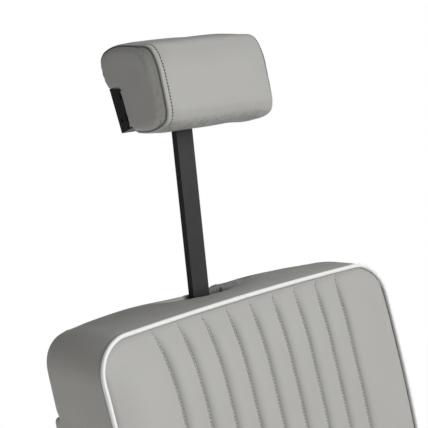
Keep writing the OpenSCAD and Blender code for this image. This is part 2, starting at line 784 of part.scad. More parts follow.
module arm_frame(side) {
    mirror_x(side) {
        translate([arm_inner_x, 0, 0])
            flat_loop(arm_low_y, arm_high_y, rail_z, arm_top_z, arm_corner_r, arm_bar_t, arm_bar_w);
        for (y = [arm_low_y + arm_corner_r, arm_high_y - arm_corner_r - outrigger_w])
            span([rail_outer_x, y, rail_z + arm_bar_t],
                [arm_inner_x + arm_bar_w / 2, y + outrigger_w, rail_z + arm_bar_t + rail_h / 2]);
    }
}
module arm_frame_left() { color(black) arm_frame(-1); }
module arm_frame_right() { color(black) arm_frame(1); }

// A pad with a flat underside, a rounded plan and a crowned top
pad_shares = [[0.97, 0], [1, 0.12], [1, 0.55], [0.985, 0.72], [0.93, 0.86], [0.78, 0.95], [0.45, 1]];
pad_steps = 8;
module arm_pad(side) {
    hw = arm_pad_w / 2;
    hl = arm_pad_l / 2;
    r = hw * 0.8;
    plan = [for (c = [[1, 1], [-1, 1], [-1, -1], [1, -1]]) for (i = [0:pad_steps - 1])
        let (a = 90 * i / (pad_steps - 1), s = c[0] * c[1] > 0 ? a : 90 - a)
        [c[0] * (hw - r + r * cos(s)), c[1] * (hl - r + r * sin(s))]];
    n = len(plan);
    rings = len(pad_shares);
    points = concat([for (s = pad_shares) for (p = plan)
            [p[0] - (1 - s[0]) * hw * p[0] / hw, p[1] - sign(p[1]) * (1 - s[0]) * hw, s[1] * arm_pad_t]],
        [[0, 0, 0], [0, 0, arm_pad_t]]);
    faces = concat([for (s = [0:rings - 2]) for (k = [0:n - 1]) for (t = [0, 1])
            let (k2 = (k + 1) % n, p = s * n, q = p + n)
            t == 0 ? [p + k, q + k, q + k2] : [p + k, q + k2, p + k2]],
        [for (k = [0:n - 1]) [k, (k + 1) % n, rings * n]],
        [for (k = [0:n - 1]) [(rings - 1) * n + k, rings * n + 1, (rings - 1) * n + (k + 1) % n]]);
    translate([side * arm_mid_x, -arm_mid_y, arm_top_z])
        polyhedron(points = points, faces = faces, convexity = 4);
}
module arm_pad_left() { color(vinyl) arm_pad(-1); }
module arm_pad_right() { color(vinyl) arm_pad(1); }

// Footrest

footrest_y = front_rail_y - footrest_reach;
stem_y = front_rail_y - footrest_stem_t / 2;
stem_bend_z = rail_z - footrest_stem_t;
footrest_bolt_d = 8;
footrest_bolt_x_share = 0.3;
module footrest_bolt_places() {
    for (x = [-1, 1]) translate([x * footrest_bolt_x_share * footrest_stem_w,
        front_rail_y - footrest_stem_t, rail_z + rail_h / 2]) rotate([-90, 0, 0]) children();
}

module footrest_stem() {
    bend = [stem_y, stem_bend_z];
    end = [footrest_y, footrest_z];
    way = (end - bend) / norm(end - bend);
    side = [-way[1], way[0]] * footrest_stem_t / 2;
    flat = [footrest_stem_t / 2, 0];
    mitre = (side + flat) / (1 - way[1]);
    top = [0, board_z - footrest_stem_t / 2 - stem_bend_z];
    color(black) difference() {
        translate([-footrest_stem_w / 2, 0, 0]) rotate([90, 0, 90])
            linear_extrude(footrest_stem_w) polygon([bend + top + flat, bend + mitre, end + side,
                end - side, bend - mitre, bend + top - flat]);
        shaft_x(-footrest_bar_l / 2, footrest_bar_l / 2, footrest_y, footrest_z, footrest_bar_d);
        footrest_bolt_places() translate([0, 0, -over])
            cylinder(d = footrest_bolt_d + 2 * hole_gap, h = footrest_stem_t + 2 * over);
    }
}

module footrest_bar() {
    color(chrome) shaft_x(-footrest_bar_l / 2, footrest_bar_l / 2, footrest_y, footrest_z,
        footrest_bar_d);
}

module footrest_sleeves() {
    low = footrest_bar_l / 2 - footrest_sleeve_l;
    color(rubber) for (side = [-1, 1]) mirror_x(side) difference() {
        shaft_x(low, footrest_bar_l / 2 + footrest_sleeve_t, footrest_y, footrest_z,
            footrest_bar_d + 2 * footrest_sleeve_t);
        shaft_x(low - over, footrest_bar_l / 2, footrest_y, footrest_z, footrest_bar_d);
    }
}

module footrest_bolts() {
    color(steel) footrest_bolt_places() bolt(footrest_bolt_d, footrest_stem_t + rail_w / 3,
        1.6 * footrest_bolt_d, 0.6 * footrest_bolt_d);
}

// Recline hinge on the seat

bracket_start_share = 0.3;
module hinge_bracket(side) {
    mirror_x(side) difference() {
        translate([rail_outer_x, 0, 0]) union() {
            rotate([90, 0, 90]) linear_extrude(hinge_t) polygon([
                [bracket_start_share * rail_l, rail_z], [rail_l / 2, rail_z],
                [recline_y + hinge_arm_w * 0.26, recline_z - hinge_arm_w * 0.42],
                [recline_y, recline_z + hinge_arm_w / 2],
                [recline_y - hinge_arm_w / 3, recline_z + hinge_arm_w * 0.37],
                [seat_rear + hinge_arm_w / 2, board_z], [bracket_start_share * rail_l, board_z]]);
            shaft_x(0, hinge_t, recline_y, recline_z, hinge_arm_w);
        }
        shaft_x(0, arm_inner_x, recline_y, recline_z, recline_bolt_d + 2 * hole_gap);
    }
}
module hinge_bracket_left() { color(black) hinge_bracket(-1); }
module hinge_bracket_right() { color(black) hinge_bracket(1); }

bolt_head_h = 0.6 * recline_bolt_d;
module hinge_bolts() {
    color(steel) for (side = [-1, 1]) mirror_x(side) {
        shaft_x(ear_x - hinge_t, rail_outer_x + hinge_t, recline_y, recline_z, recline_bolt_d);
        shaft_x(rail_outer_x + hinge_t, rail_outer_x + hinge_t + bolt_head_h, recline_y, recline_z,
            1.7 * recline_bolt_d);
    }
}

// Gas strut under the seat

strut_rear_y = rear_rail_y + rail_w + gap;
strut_front_y = strut_rear_y - strut_l;
strut_wall = 3;
module along_y(y0, y1, z, d) {
    translate([0, y0, z]) rotate([-90, 0, 0]) cylinder(d = d, h = y1 - y0);
}

module strut_cylinder() {
    color(black) difference() {
        along_y(strut_front_y, strut_rear_y, strut_z, strut_d);
        along_y(strut_front_y + strut_wall, strut_rear_y - 2 * strut_wall, strut_z,
            strut_d - 2 * strut_wall);
        along_y(strut_rear_y - 3 * strut_wall, strut_rear_y + over, strut_z, strut_rod_d + 2 * run);
    }
}

module strut_clamp() {
    color(black) difference() {
        span([-strut_d / 2 - lug_t, rear_rail_y, strut_z - strut_d / 2 - lug_t],
            [strut_d / 2 + lug_t, rear_rail_y + rail_w, rail_z]);
        along_y(rear_rail_y - over, rear_rail_y + rail_w + over, strut_z, strut_d);
    }
}

fork_inner = hinge_t / 2 + strut_clear;
fork_outer = fork_inner + lug_t;
fork_r = 0.75 * strut_pin_d;
fork_back = 1.66 * strut_pin_d;
fork_t = 0.5 * strut_pin_d;
strut_travel = 2 * strut_drop * tan(strut_angle);
module strut_rod() {
    rod_in = strut_rear_y - strut_travel * 0.06 - 6 * strut_wall;
    color(chrome) {
        along_y(rod_in, strut_pin_y - fork_back - fork_t, strut_z, strut_rod_d);
        along_y(rod_in, rod_in + 3 * strut_wall, strut_z, strut_d - 2 * strut_wall - 2 * hole_gap);
    }
}

module strut_fork() {
    y0 = strut_pin_y - fork_back;
    color(steel) difference() {
        union() {
            span([-fork_outer, y0 - fork_t, strut_z - fork_r], [fork_outer, y0, strut_z + fork_r]);
            for (side = [-1, 1]) mirror_x(side) {
                span([fork_inner, y0 - over, strut_z - fork_r],
                    [fork_outer, strut_pin_y, strut_z + fork_r]);
                shaft_x(fork_inner, fork_outer, strut_pin_y, strut_z, 2 * fork_r);
            }
        }
        shaft_x(-2 * fork_outer, 2 * fork_outer, strut_pin_y, strut_z, strut_pin_d + 2 * hole_gap);
    }
}

module strut_pin() {
    color(steel) {
        shaft_x(-fork_outer, fork_outer, strut_pin_y, strut_z, strut_pin_d);
        for (x = [-fork_outer - lug_t / 3, fork_outer])
            shaft_x(x, x + lug_t / 3, strut_pin_y, strut_z, 1.3 * strut_pin_d);
    }
}

// Release lever

release_cam_w = 2 * release_d;
release_arm_rise = 14;
module release_lever() {
    cam_end = strut_front_y - gap;
    color(black) {
        shaft_x(-release_cam_w / 2, release_x, release_y, strut_z, release_d);
        shaft_x(-release_cam_w / 4, release_cam_w / 4, release_y, strut_z, 1.3 * release_d);
        intersection() {
            shaft_x(-release_cam_w / 4, release_cam_w / 4, release_y, strut_z,
                2 * (cam_end - release_y));
            span([-release_cam_w, release_y, strut_z - release_d / 3],
                [release_cam_w, seat_l, strut_z + release_d / 3]);
        }
        translate([release_x, release_y, strut_z]) {
            sphere(d = 1.2 * release_d);
            rotate([90 - release_arm_rise, 0, 0]) cylinder(d = release_d, h = release_arm_l);
        }
    }
}

release_grip_l = 0.85 * release_arm_l;
module release_grip() {
    color(rubber) translate([release_x, release_y, strut_z]) rotate([90 - release_arm_rise, 0, 0])
        translate([0, 0, release_arm_l - release_grip_l]) difference() {
            union() {
                cylinder(d = release_grip_d, h = release_grip_l);
                translate([0, 0, release_grip_l]) sphere(d = release_grip_d);
            }
            translate([0, 0, -over]) cylinder(d = release_d, h = release_grip_l + over);
        }
}

// Back frame

// The back's rear plane frame has its origin at the rear top corner, +Y to the rear and +Z up the back
back_plane_l = back_l * 0.953;
board_top = 45;
board_low_edge = 20;
board_side_edge = 35;
board_bottom = back_plane_l - board_low_edge;
board_hw = seat_w / 2 - board_side_edge;
pivot_dy = recline_y - back_top_y - back_top_depth;
pivot_dz = recline_z - back_top_z + back_top_drop;
pivot_u = pivot_dy * cos(back_rear_lean) - pivot_dz * sin(back_rear_lean);
pivot_v = pivot_dy * sin(back_rear_lean) + pivot_dz * cos(back_rear_lean);
leaf_l = 200;
leaf_w = hinge_arm_w;
ear_up = 65;
ear_share = 0.45;

module back_arm_shape(grow) {
    back_frame() {
        span([ear_x + hinge_t - leaf_w - grow, -back_board_t - hinge_t - grow, -board_bottom - grow],
            [ear_x + hinge_t + grow, -back_board_t, -board_bottom + leaf_l + grow]);
        span([ear_x - grow, pivot_u - ear_share * hinge_arm_w - grow, pivot_v],
            [ear_x + hinge_t + grow, -back_board_t, -board_bottom + ear_up + grow]);
    }
}

module back_arm(side) {
    mirror_x(side) difference() {
        union() {
            back_arm_shape(0);
            shaft_x(ear_x, ear_x + hinge_t, recline_y, recline_z, hinge_arm_w);
        }
        shaft_x(0, arm_inner_x, recline_y, recline_z, recline_bolt_d + 2 * run);
        back_screw_places() cylinder(d = back_screw_d + 2 * hole_gap,
            h = 2 * (back_board_t + hinge_t + over), center = true);
    }
}
module back_arm_left() { color(black) back_arm(-1); }
module back_arm_right() { color(black) back_arm(1); }

module torque_tube() {
    color(black) difference() {
        shaft_x(-ear_x, ear_x, recline_y, recline_z, torque_tube_d);
        shaft_x(-ear_x - over, ear_x + over, recline_y, recline_z, recline_bolt_d + 4 * hole_gap);
    }
}

slot_r0 = strut_drop - strut_clear;
slot_r1 = strut_drop / cos(strut_angle) + strut_clear;
lever_wall = 4.5;
lever_w = strut_pin_d + 2 * strut_clear + 2 * lever_wall;
module recline_lever() {
    color(black) translate([-hinge_t / 2, recline_y, recline_z]) rotate([strut_angle, 0, 0])
        difference() {
            union() {
                span([0, -lever_w / 2, -slot_r1], [hinge_t, lever_w / 2, 0]);
                shaft_x(0, hinge_t, 0, 0, torque_tube_d + 2 * lug_t);
                shaft_x(0, hinge_t, 0, -slot_r1, lever_w);
            }
            shaft_x(-over, hinge_t + over, 0, 0, torque_tube_d);
            for (r = [slot_r0, slot_r1])
                shaft_x(-over, hinge_t + over, 0, -r, strut_pin_d + 2 * strut_clear);
            span([-over, -strut_pin_d / 2 - strut_clear, -slot_r1],
                [hinge_t + over, strut_pin_d / 2 + strut_clear, -slot_r0]);
        }
}

notch_hw = 32;
notch_bottom = 190;
module back_board() {
    color(ply) difference() {
        back_frame() span([-board_hw, -back_board_t, -board_bottom], [board_hw, 0, -board_top]);
        back_frame() span([-notch_hw, -back_board_t - over, -notch_bottom], [notch_hw, over, 0]);
        for (side = [-1, 1]) mirror_x(side) back_screw_places()
            cylinder(d = back_screw_d + 2 * hole_gap, h = 2 * (back_board_t + over), center = true);
        guide_screw_places() cylinder(d = back_screw_d + 2 * hole_gap, h = 1.6 * back_board_t,
            center = true);
    }
}

// Screws through the board into the hinge arms, and through the guide's wings into the board
back_screw_d = 6;
back_screw_head_d = 11;
back_screw_head_h = 3;
back_screw_shares = [0.45, 0.7, 0.93];
module back_screw_places() {
    back_frame() for (s = back_screw_shares)
        translate([ear_x - leaf_w * 0.4, 0, -board_bottom + leaf_l * s]) rotate([90, 0, 0]) children();
}
wing_t = 3;
wing_hw = 62;
wing_low = 95;
wing_high = 50;
module guide_screw_places() {
    back_frame() for (x = [-1, 1]) for (z = [wing_low - wing_hw / 6, wing_high + wing_hw / 6])
        translate([x * wing_hw * 0.8, 0, -z]) rotate([90, 0, 0]) children();
}

module back_screws() {
    color(steel) {
        for (side = [-1, 1]) mirror_x(side) back_screw_places() bolt(back_screw_d,
            back_board_t + hinge_t, back_screw_head_d, back_screw_head_h, 32);
        guide_screw_places() translate([0, 0, -wing_t]) bolt(back_screw_d, wing_t + back_board_t * 0.7,
            back_screw_head_d, back_screw_head_h, 32);
    }
}

// Back cushion

// Point of the front face's arc at a distance v down from the top, and of the rear plane beside it
function front_point(v) = let (a = back_lean - v / back_curve_r * 180 / PI)
    [back_top_y + back_curve_r * (cos(back_lean) - cos(a)),
     back_top_z - back_curve_r * (sin(back_lean) - sin(a))];
function rear_point(u, v) = let (c = back_rear_crown * (1 - pow(2 * u / seat_w, 2)),
        w = v * back_plane_l / back_l, b = back_band_foot
            + (back_band_top - back_band_foot) * max(0, 1 - max(0, v) / back_band_h))
    [back_top_y + back_top_depth - w * sin(back_rear_lean) + c * cos(back_rear_lean) + b,
     back_top_z - back_top_drop - w * cos(back_rear_lean) - c * sin(back_rear_lean)];
back_place = function (u, v, d) let (f = front_point(v), g = rear_point(u, v))
    [u, f[0] + d * (g[0] - f[0]), f[1] + d * (g[1] - f[1])];
back_edge_r = 23;
back_edge_share = back_edge_r / (back_top_depth + back_band_top);
// Swell of the top face beside the slot, and its dip at the slot
back_top_swell = 3.2;
back_top_dip = 2.8;
back_swell_u = 130;
back_corner_swell = 4.5;
function top_swell(u) = abs(u) < back_swell_u
    ? -back_top_dip + (back_top_dip + back_top_swell) * pow(sin(90 * u / back_swell_u), 2)
    : back_top_swell * max(0, cos(90 * (abs(u) - back_swell_u) / (seat_w / 2 - 1.2 * back_swell_u)));
back_swell = function (u, v, d) let (o = outward(u, v, seat_w / 2, back_corner_r, back_l),
        corner = v < back_l / 2 ? back_corner_swell * abs(2 * o[0] * o[1]) : 0)
    pow(min(1, d / 0.8), 2) * (corner + (o[1] < -0.98 ? top_swell(u) : 0));
seat_swell = function (u, v, d) 0;
back_low_r = 16;
back_wall = [[0.05, piping_d / 3, piping_d / 3], [0.25, piping_d * 0.75, piping_d * 0.75],
    [0.55, piping_d * 0.7, piping_d * 0.7], [1 - back_edge_share, piping_d / 12, piping_d / 4],
    [1 - back_edge_share * 0.28, -back_edge_r * 0.3, -back_low_r * 0.3],
    [1, -back_edge_r, -back_low_r]];

// The space of the bar, its guide and their travel inside the back
guide_wall = 1.5;
bush_t = 2;
guide_hx = bar_w / 2 + bush_t + hole_gap;
guide_hy = bar_t / 2 + bush_t + hole_gap;
guide_top = 12;
stop_d = 6;
guide_low = bar_in - stop_d * 1.5 - bar_up - gap;
module bar_space() {
    bar_frame() {
        span([-bar_w / 2 - 2 * gap, -bar_t / 2 - 2 * gap, -2 * guide_top],
            [bar_w / 2 + 2 * gap, bar_t / 2 + 2 * gap, 3 * guide_top]);
        span([-guide_hx - guide_wall - gap, -guide_hy - guide_wall - gap, -bar_in - bar_down - stop_d],
            [guide_hx + guide_wall + gap, guide_hy + guide_wall + gap, -guide_top + gap]);
    }
}

module back_cushion() {
    color(vinyl) difference() {
        stitched_form(seat_w / 2, back_l, back_corner_r, back_arch, back_crown, back_top_depth,
            back_wall, back_band_h, 0.5, back_place, back_swell);
        bar_space();
        for (side = [-1, 1]) mirror_x(side) back_arm_shape(gap);
        back_frame() {
            span([-seat_w, 0, -back_l], [seat_w, back_top_depth, -back_band_h]);
            span([-board_hw - gap, -back_board_t - gap, -back_l], [board_hw + gap, gap, -board_top + gap]);
            span([-wing_hw - gap, -gap, -back_band_h - over],
                [wing_hw + gap, wing_t + back_screw_head_h + gap, -wing_high + gap]);
        }
    }
}

module back_piping() {
    color(welt) welt_tube([for (p = welt_outline(seat_w / 2, back_corner_r, back_arch, back_l))
        back_place(p[0], p[1], 0)], piping_d, 8, [0, cos(back_lean), -sin(back_lean)]);
}

// Rear panel: flat against the back, crowned outside

panel_corner_r = 40;
panel_rings_share = [0, 0.02, 0.1, 0.25, 0.5, 0.75];
panel_edge_share = 0.7;
panel_corner_steps = 5;
panel_side_steps = 6;
panel_in = 10;
panel_low = back_plane_l - panel_in;
panel_hw = seat_w / 2 - panel_in;
panel_half_l = (panel_low - back_band_h) / 2;
function panel_crown(u, w) = back_panel_crown * (1 - pow(u / panel_hw, 2))
    * (0.55 + 0.45 * (1 - pow(w / panel_half_l, 2)));
function panel_quarter(i) = let (r = panel_corner_r, a = 90 * i / panel_corner_steps)
    [panel_hw - r + r * cos(a), panel_half_l - r + r * sin(a)];
// Outline with square upper corners and round lower corners, seen from the rear, w runs up
function panel_outline() = let (h = panel_half_l, r = panel_corner_r, n = panel_side_steps) concat(
    [for (i = [0:n - 1]) [panel_hw, h - (2 * h - r) * i / n]],
    [for (i = [0:panel_corner_steps]) let (p = panel_quarter(i)) [p[0], -p[1]]],
    [for (i = [1:n - 1]) [(panel_hw - r) * (1 - 2 * i / n), -h]],
    [for (i = [panel_corner_steps:-1:0]) let (p = panel_quarter(i)) [-p[0], -p[1]]],
    [for (i = [1:n]) [-panel_hw, -h + r + (2 * h - r) * i / n]],
    [for (i = [1:n - 1]) [-panel_hw * (1 - 2 * i / n), h]]);

module back_panel() {
    line = panel_outline();
    n = len(line);
    rings = len(panel_rings_share);
    points = concat([for (p = line) [p[0], 0, p[1]]],
        [for (s = panel_rings_share) for (p = line)
            let (u = p[0] * (1 - s), w = p[1] * (1 - s))
            [u, (s == 0 ? panel_edge_share : 1) * back_panel_t + panel_crown(u, w), w]],
        [[0, 0, 0], [0, back_panel_t + back_panel_crown, 0]]);
    faces = concat([for (s = [0:rings - 1]) for (k = [0:n - 1]) for (t = [0, 1])
            let (k2 = (k + 1) % n, p = s * n, q = p + n)
            t == 0 ? [p + k, q + k, q + k2] : [p + k, q + k2, p + k2]],
        [for (k = [0:n - 1]) [k, (k + 1) % n, len(points) - 2]],
        [for (k = [0:n - 1]) [rings * n + k, len(points) - 1, rings * n + (k + 1) % n]]);
    color(vinyl) difference() {
        back_frame() translate([0, 0, -back_band_h - panel_half_l])
            polyhedron(points = points, faces = faces, convexity = 4);
        bar_space();
        back_frame() span([-board_hw + leaf_w / 2, -over, -board_bottom + piping_d],
            [board_hw - leaf_w / 2, back_screw_head_h + over, -back_band_h - leaf_w / 2]);
    }
}

// Headrest guide

module headrest_guide() {
    color(steel) difference() {
        union() {
            bar_frame() span([-guide_hx - guide_wall, -guide_hy - guide_wall, -guide_low],
                [guide_hx + guide_wall, guide_hy + guide_wall, -guide_top]);
            back_frame() span([-wing_hw, 0, -wing_low], [wing_hw, wing_t, -wing_high]);
        }
        bar_frame() span([-guide_hx, -guide_hy, -back_l], [guide_hx, guide_hy, guide_top]);
        guide_screw_places() cylinder(d = back_screw_d + 2 * hole_gap, h = 4 * wing_t, center = true);
    }
}

bush_l = 24;
module guide_bushes() {
    color(nylon) bar_frame() for (z = [-guide_top - bush_l, -guide_low]) difference() {
        span([-guide_hx, -guide_hy, z], [guide_hx, guide_hy, z + bush_l]);
        span([-bar_w / 2 - run, -bar_t / 2 - run, z - over],
            [bar_w / 2 + run, bar_t / 2 + run, z + bush_l + over]);
    }
}

leaf_spring_t = 0.8;
module friction_spring() {
    half = (guide_low - guide_top - 2 * bush_l) / 2 * 0.9;
    rise = bush_t - leaf_spring_t;
    r = (half * half + rise * rise) / 2 / rise;
    angle = asin(half / r);
    color(steel) bar_frame()
        translate([0, bar_t / 2 + hole_gap + r, -(guide_top + guide_low) / 2])
            rotate([0, 90, 0]) rotate([0, 0, -90 - angle]) rotate_extrude(angle = 2 * angle)
                translate([r - leaf_spring_t, -bar_w / 3]) square([leaf_spring_t, 2 * bar_w / 3]);
}

// Headrest bar

knuckle_d = 14;
module headrest_bar() {
    color(black) bar_frame() difference() {
        union() {
            span([-bar_w / 2, -bar_t / 2, -bar_in], [bar_w / 2, bar_t / 2, bar_out]);
            shaft_x(-bar_w / 2, bar_w / 2, 0, bar_out, knuckle_d);
        }
        shaft_x(-bar_w, bar_w, 0, bar_out, tilt_bolt_d + 2 * run);
        shaft_x(-bar_w, bar_w, 0, -bar_in + stop_d, stop_d);
    }
}

module bar_stop() {
    color(steel) bar_frame()
        shaft_x(-bar_w / 2 - bush_t, bar_w / 2 + bush_t, 0, -bar_in + stop_d, stop_d);
}

// Headrest

head_hw = head_w / 2;
pan_x = head_hw - pan_t / 2;
lug_x = bar_w / 2 + gap;
notch_h = pin_up + knuckle_d / 2 + lug_t / 2;
pan_screw_d = 4;
module pan_screw_places() {
    for (side = [-1, 1]) for (z = [0.26, 0.74])
        translate([side * pan_x, -0.78 * pan_depth, z * pan_h]) rotate([0, side * 90, 0]) children();
}

module headrest_pan() {
    color(black) head_frame() difference() {
        union() {
            span([-pan_x, -pan_t, 0], [pan_x, 0, pan_h]);
            span([-pan_x, -1.23 * pan_depth, 0], [pan_x, 0, pan_t]);
            for (side = [-1, 1]) mirror_x(side) {
                translate([pan_x - pan_t, 0, 0]) rotate([90, 0, 90]) linear_extrude(pan_t) polygon([
                    [0, 0], [0, pan_h], [-pan_depth, 0.89 * pan_h], [-pan_depth * 0.97, 0.22 * pan_h],
                    [-pan_depth * 0.9, 0.1 * pan_h], [-pan_depth * 0.7, 0]]);
                span([lug_x, -0.83 * pan_depth, pin_up - tilt_bolt_d * 1.4],
                    [lug_x + 1.5 * pan_t, 0, pin_up + tilt_bolt_d * 1.9]);
            }
        }
        span([-lug_x, -pan_depth, -over], [lug_x, over, notch_h]);
        shaft_x(-head_w, head_w, -pin_in, pin_up, tilt_bolt_d + 2 * hole_gap);
        pan_screw_places() cylinder(d = pan_screw_d + 2 * hole_gap, h = 4 * pan_t, center = true);
    }
}

module headrest_board() {
    color(ply) head_frame() difference() {
        span([-pan_x + pan_t, -pan_depth, pan_t], [pan_x - pan_t, -pan_t, pan_h - pan_t]);
        span([-lug_x - 6 * pan_t, -2 * pan_depth, 0], [lug_x + 6 * pan_t, over, notch_h + 2 * pan_t]);
        pan_screw_places() translate([0, 0, -8 * pan_t])
            cylinder(d = pan_screw_d + 2 * hole_gap, h = 10 * pan_t);
    }
}

module headrest_screws() {
    color(black) head_frame() pan_screw_places() rotate([180, 0, 0])
        bolt(pan_screw_d, 6 * pan_t, 2.1 * pan_screw_d, 0.6 * pan_screw_d, 32);
}

module tilt_bolt() {
    end = lug_x + 1.5 * pan_t;
    color(steel) head_frame() {
        shaft_x(-end, end, -pin_in, pin_up, tilt_bolt_d);
        for (x = [-end - tilt_bolt_d / 2, end])
            shaft_x(x, x + tilt_bolt_d / 2, -pin_in, pin_up, 1.7 * tilt_bolt_d);
    }
}

// Side outline of the pad: shares of its depth forward and of its height up, from the rear bottom
head_outline_share = [[0.039, -0.011], [0.144, -0.039], [0.285, -0.078], [0.45, -0.118],
    [0.601, -0.131], [0.708, -0.122], [0.781, -0.089], [0.822, -0.032], [0.847, 0.033],
    [0.87, 0.165], [0.889, 0.304], [0.903, 0.437], [0.893, 0.56], [0.86, 0.655], [0.805, 0.713],
    [0.734, 0.749], [0.651, 0.774], [0.536, 0.812], [0.401, 0.854], [0.25, 0.885], [0.11, 0.891],
    [0.004, 0.876], [-0.069, 0.826], [-0.097, 0.732], [-0.091, 0.628], [-0.064, 0.541],
    [-0.015, 0.469], [0.03, 0.399], [0.045, 0.207]];
// Distance from the middle as a share of half the width, and how far the outline swells there
head_slices = [[-1, 0], [-0.975, 0.008], [-0.85, 0.017], [-0.45, 0.021], [0, 0.022], [0.45, 0.021],
    [0.85, 0.017], [0.975, 0.008], [1, 0]];
head_side_bulge = 5;
head_mid_share = [0.42, 0.38];
function head_point(p, x, swell) = let (q = p - head_mid_share, k = 1 + 2 * swell)
    [x, -(head_mid_share[0] + q[0] * k) * head_depth, (head_mid_share[1] + q[1] * k) * head_h];

module headrest_pad() {
    n = len(head_outline_share);
    m = len(head_slices);
    x_seam = head_hw - head_side_bulge;
    points = concat(
        [for (s = head_slices) for (p = head_outline_share) head_point(p, s[0] * x_seam, s[1])],
        [for (side = [-1, 1]) for (p = head_outline_share)
            head_point(head_mid_share + (p - head_mid_share) * 0.72, side * (head_hw - 0.24 * head_side_bulge), 0)],
        [for (side = [-1, 1]) head_point(head_mid_share, side * head_hw, 0)]);
    last = len(points) - 1;
    faces = concat(
        [for (s = [0:m - 2]) for (k = [0:n - 1]) for (t = [0, 1])
            let (k2 = (k + 1) % n, p = s * n, q = p + n)
            t == 0 ? [p + k, q + k2, q + k] : [p + k, p + k2, q + k2]],
        [for (k = [0:n - 1]) for (t = [0, 1]) let (k2 = (k + 1) % n, q = m * n)
            t == 0 ? [k, q + k2, k2] : [k, q + k, q + k2]],
        [for (k = [0:n - 1]) for (t = [0, 1]) let (k2 = (k + 1) % n, p = (m - 1) * n, q = (m + 1) * n)
            t == 0 ? [p + k, p + k2, q + k2] : [p + k, q + k2, q + k]],
        [for (k = [0:n - 1]) [m * n + (k + 1) % n, m * n + k, last - 1]],
        [for (k = [0:n - 1]) [(m + 1) * n + k, (m + 1) * n + (k + 1) % n, last]]);
    color(vinyl) head_frame() difference() {
        polyhedron(points = points, faces = faces, convexity = 4);
        span([-head_w, -pan_depth - gap, -head_h], [head_w, head_depth, pan_h + gap]);
        span([-pan_x - gap, -1.23 * pan_depth - gap, -head_h], [pan_x + gap, over, pan_t + gap]);
    }
}

base_plate();
base_trim_ring();
base_cover();
pump_cylinder();
pump_bolts();
pump_collar();
pump_shroud();
pedal_bracket();
pedal_pin();
pedal_lever();
pedal_pad();
piston_rod();
swivel_bearing();
swivel_plate();
swivel_bolts();
side_rail_left();
side_rail_right();
front_cross_rail();
rear_cross_rail();
seat_board();
seat_screws();
seat_cushion();
seat_piping();
arm_frame_left();
arm_frame_right();
arm_pad_left();
arm_pad_right();
footrest_stem();
footrest_bar();
footrest_sleeves();
footrest_bolts();
hinge_bracket_left();
hinge_bracket_right();
hinge_bolts();
strut_cylinder();
strut_clamp();
strut_rod();
strut_fork();
strut_pin();
release_lever();
release_grip();
back_arm_left();
back_arm_right();
torque_tube();
recline_lever();
back_board();
back_screws();
back_cushion();
back_piping();
back_panel();
headrest_guide();
guide_bushes();
friction_spring();
headrest_bar();
bar_stop();
headrest_pan();
headrest_board();
headrest_screws();
headrest_pad();
tilt_bolt();
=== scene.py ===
import json
import math

import bpy
import numpy as np
from mathutils import Matrix, Vector


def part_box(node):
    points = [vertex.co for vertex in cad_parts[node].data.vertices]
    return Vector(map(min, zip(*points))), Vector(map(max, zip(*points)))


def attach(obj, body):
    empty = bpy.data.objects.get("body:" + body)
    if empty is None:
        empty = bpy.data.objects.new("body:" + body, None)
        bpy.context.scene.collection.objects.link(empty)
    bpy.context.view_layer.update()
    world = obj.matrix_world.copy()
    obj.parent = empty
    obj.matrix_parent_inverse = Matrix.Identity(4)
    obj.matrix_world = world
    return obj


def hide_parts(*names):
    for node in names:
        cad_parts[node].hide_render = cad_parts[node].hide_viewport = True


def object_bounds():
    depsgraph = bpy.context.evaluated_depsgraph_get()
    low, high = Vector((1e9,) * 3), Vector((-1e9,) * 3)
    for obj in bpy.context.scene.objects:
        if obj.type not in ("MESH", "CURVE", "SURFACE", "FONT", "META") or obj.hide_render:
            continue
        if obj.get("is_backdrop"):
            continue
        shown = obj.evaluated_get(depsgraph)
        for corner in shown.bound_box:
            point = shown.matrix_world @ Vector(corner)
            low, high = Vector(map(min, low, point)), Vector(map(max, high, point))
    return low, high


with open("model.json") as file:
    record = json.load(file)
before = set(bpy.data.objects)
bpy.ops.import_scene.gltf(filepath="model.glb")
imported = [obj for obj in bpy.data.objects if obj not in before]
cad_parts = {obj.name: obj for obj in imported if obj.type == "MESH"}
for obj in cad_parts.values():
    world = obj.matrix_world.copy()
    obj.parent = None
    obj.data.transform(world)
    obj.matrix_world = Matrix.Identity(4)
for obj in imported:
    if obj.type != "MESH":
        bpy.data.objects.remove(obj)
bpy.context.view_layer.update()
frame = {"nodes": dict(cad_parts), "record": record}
scene = bpy.context.scene
MM = 0.001

# Sizes of the real chair in millimetres, as in the solids
PIPING_D = 6.0
SEAT_W, SEAT_L, SEAT_T, SEAT_CROWN, SEAT_R = 540.0, 461.0, 72.0, 18.0, 50.0
BACK_L, BACK_Z, BACK_Y = 580.0, 1000.0, 344.0
BACK_LEAN, BACK_CURVE, BACK_ARCH, BACK_R = 23.25, 2100.0, 5.3, 50.0
TOP_DEPTH, TOP_DROP, REAR_LEAN, BACK_CROWN, REAR_CROWN = 103.0, 21.7, 14.2, 10.0, 11.2
BAND_TOP, BAND_FOOT, BAND_H, EDGE_R, LOW_R = 18.8, 11.2, 107.0, 23.0, 16.0
PITCH, SEAMS, SEAM_DEPTH = 41.45, 4, 4.3
PANEL_T, PANEL_CROWN, PANEL_R, PANEL_IN = 14.0, 26.0, 40.0, 10.0
BAR_Y, BAR_LEAN = 95.0, 8.35
HEAD_W, HEAD_D, HEAD_H, HEAD_LEAN, HEAD_BULGE = 204.0, 110.0, 127.0, 25.0, 5.0
PAN_H, PAN_D, PAN_T = 62.0, 20.5, 2.0
STITCH = 4.7
THREAD_END, THREAD_UP, THREAD_SIDE = 7, 0.95, 0.5
PLANE_L = BACK_L * 0.953


# Small maths

def smooth(x, a, b):
    t = np.clip((np.asarray(x, float) - a) / (b - a), 0, 1)
    return t * t * (3 - 2 * t)


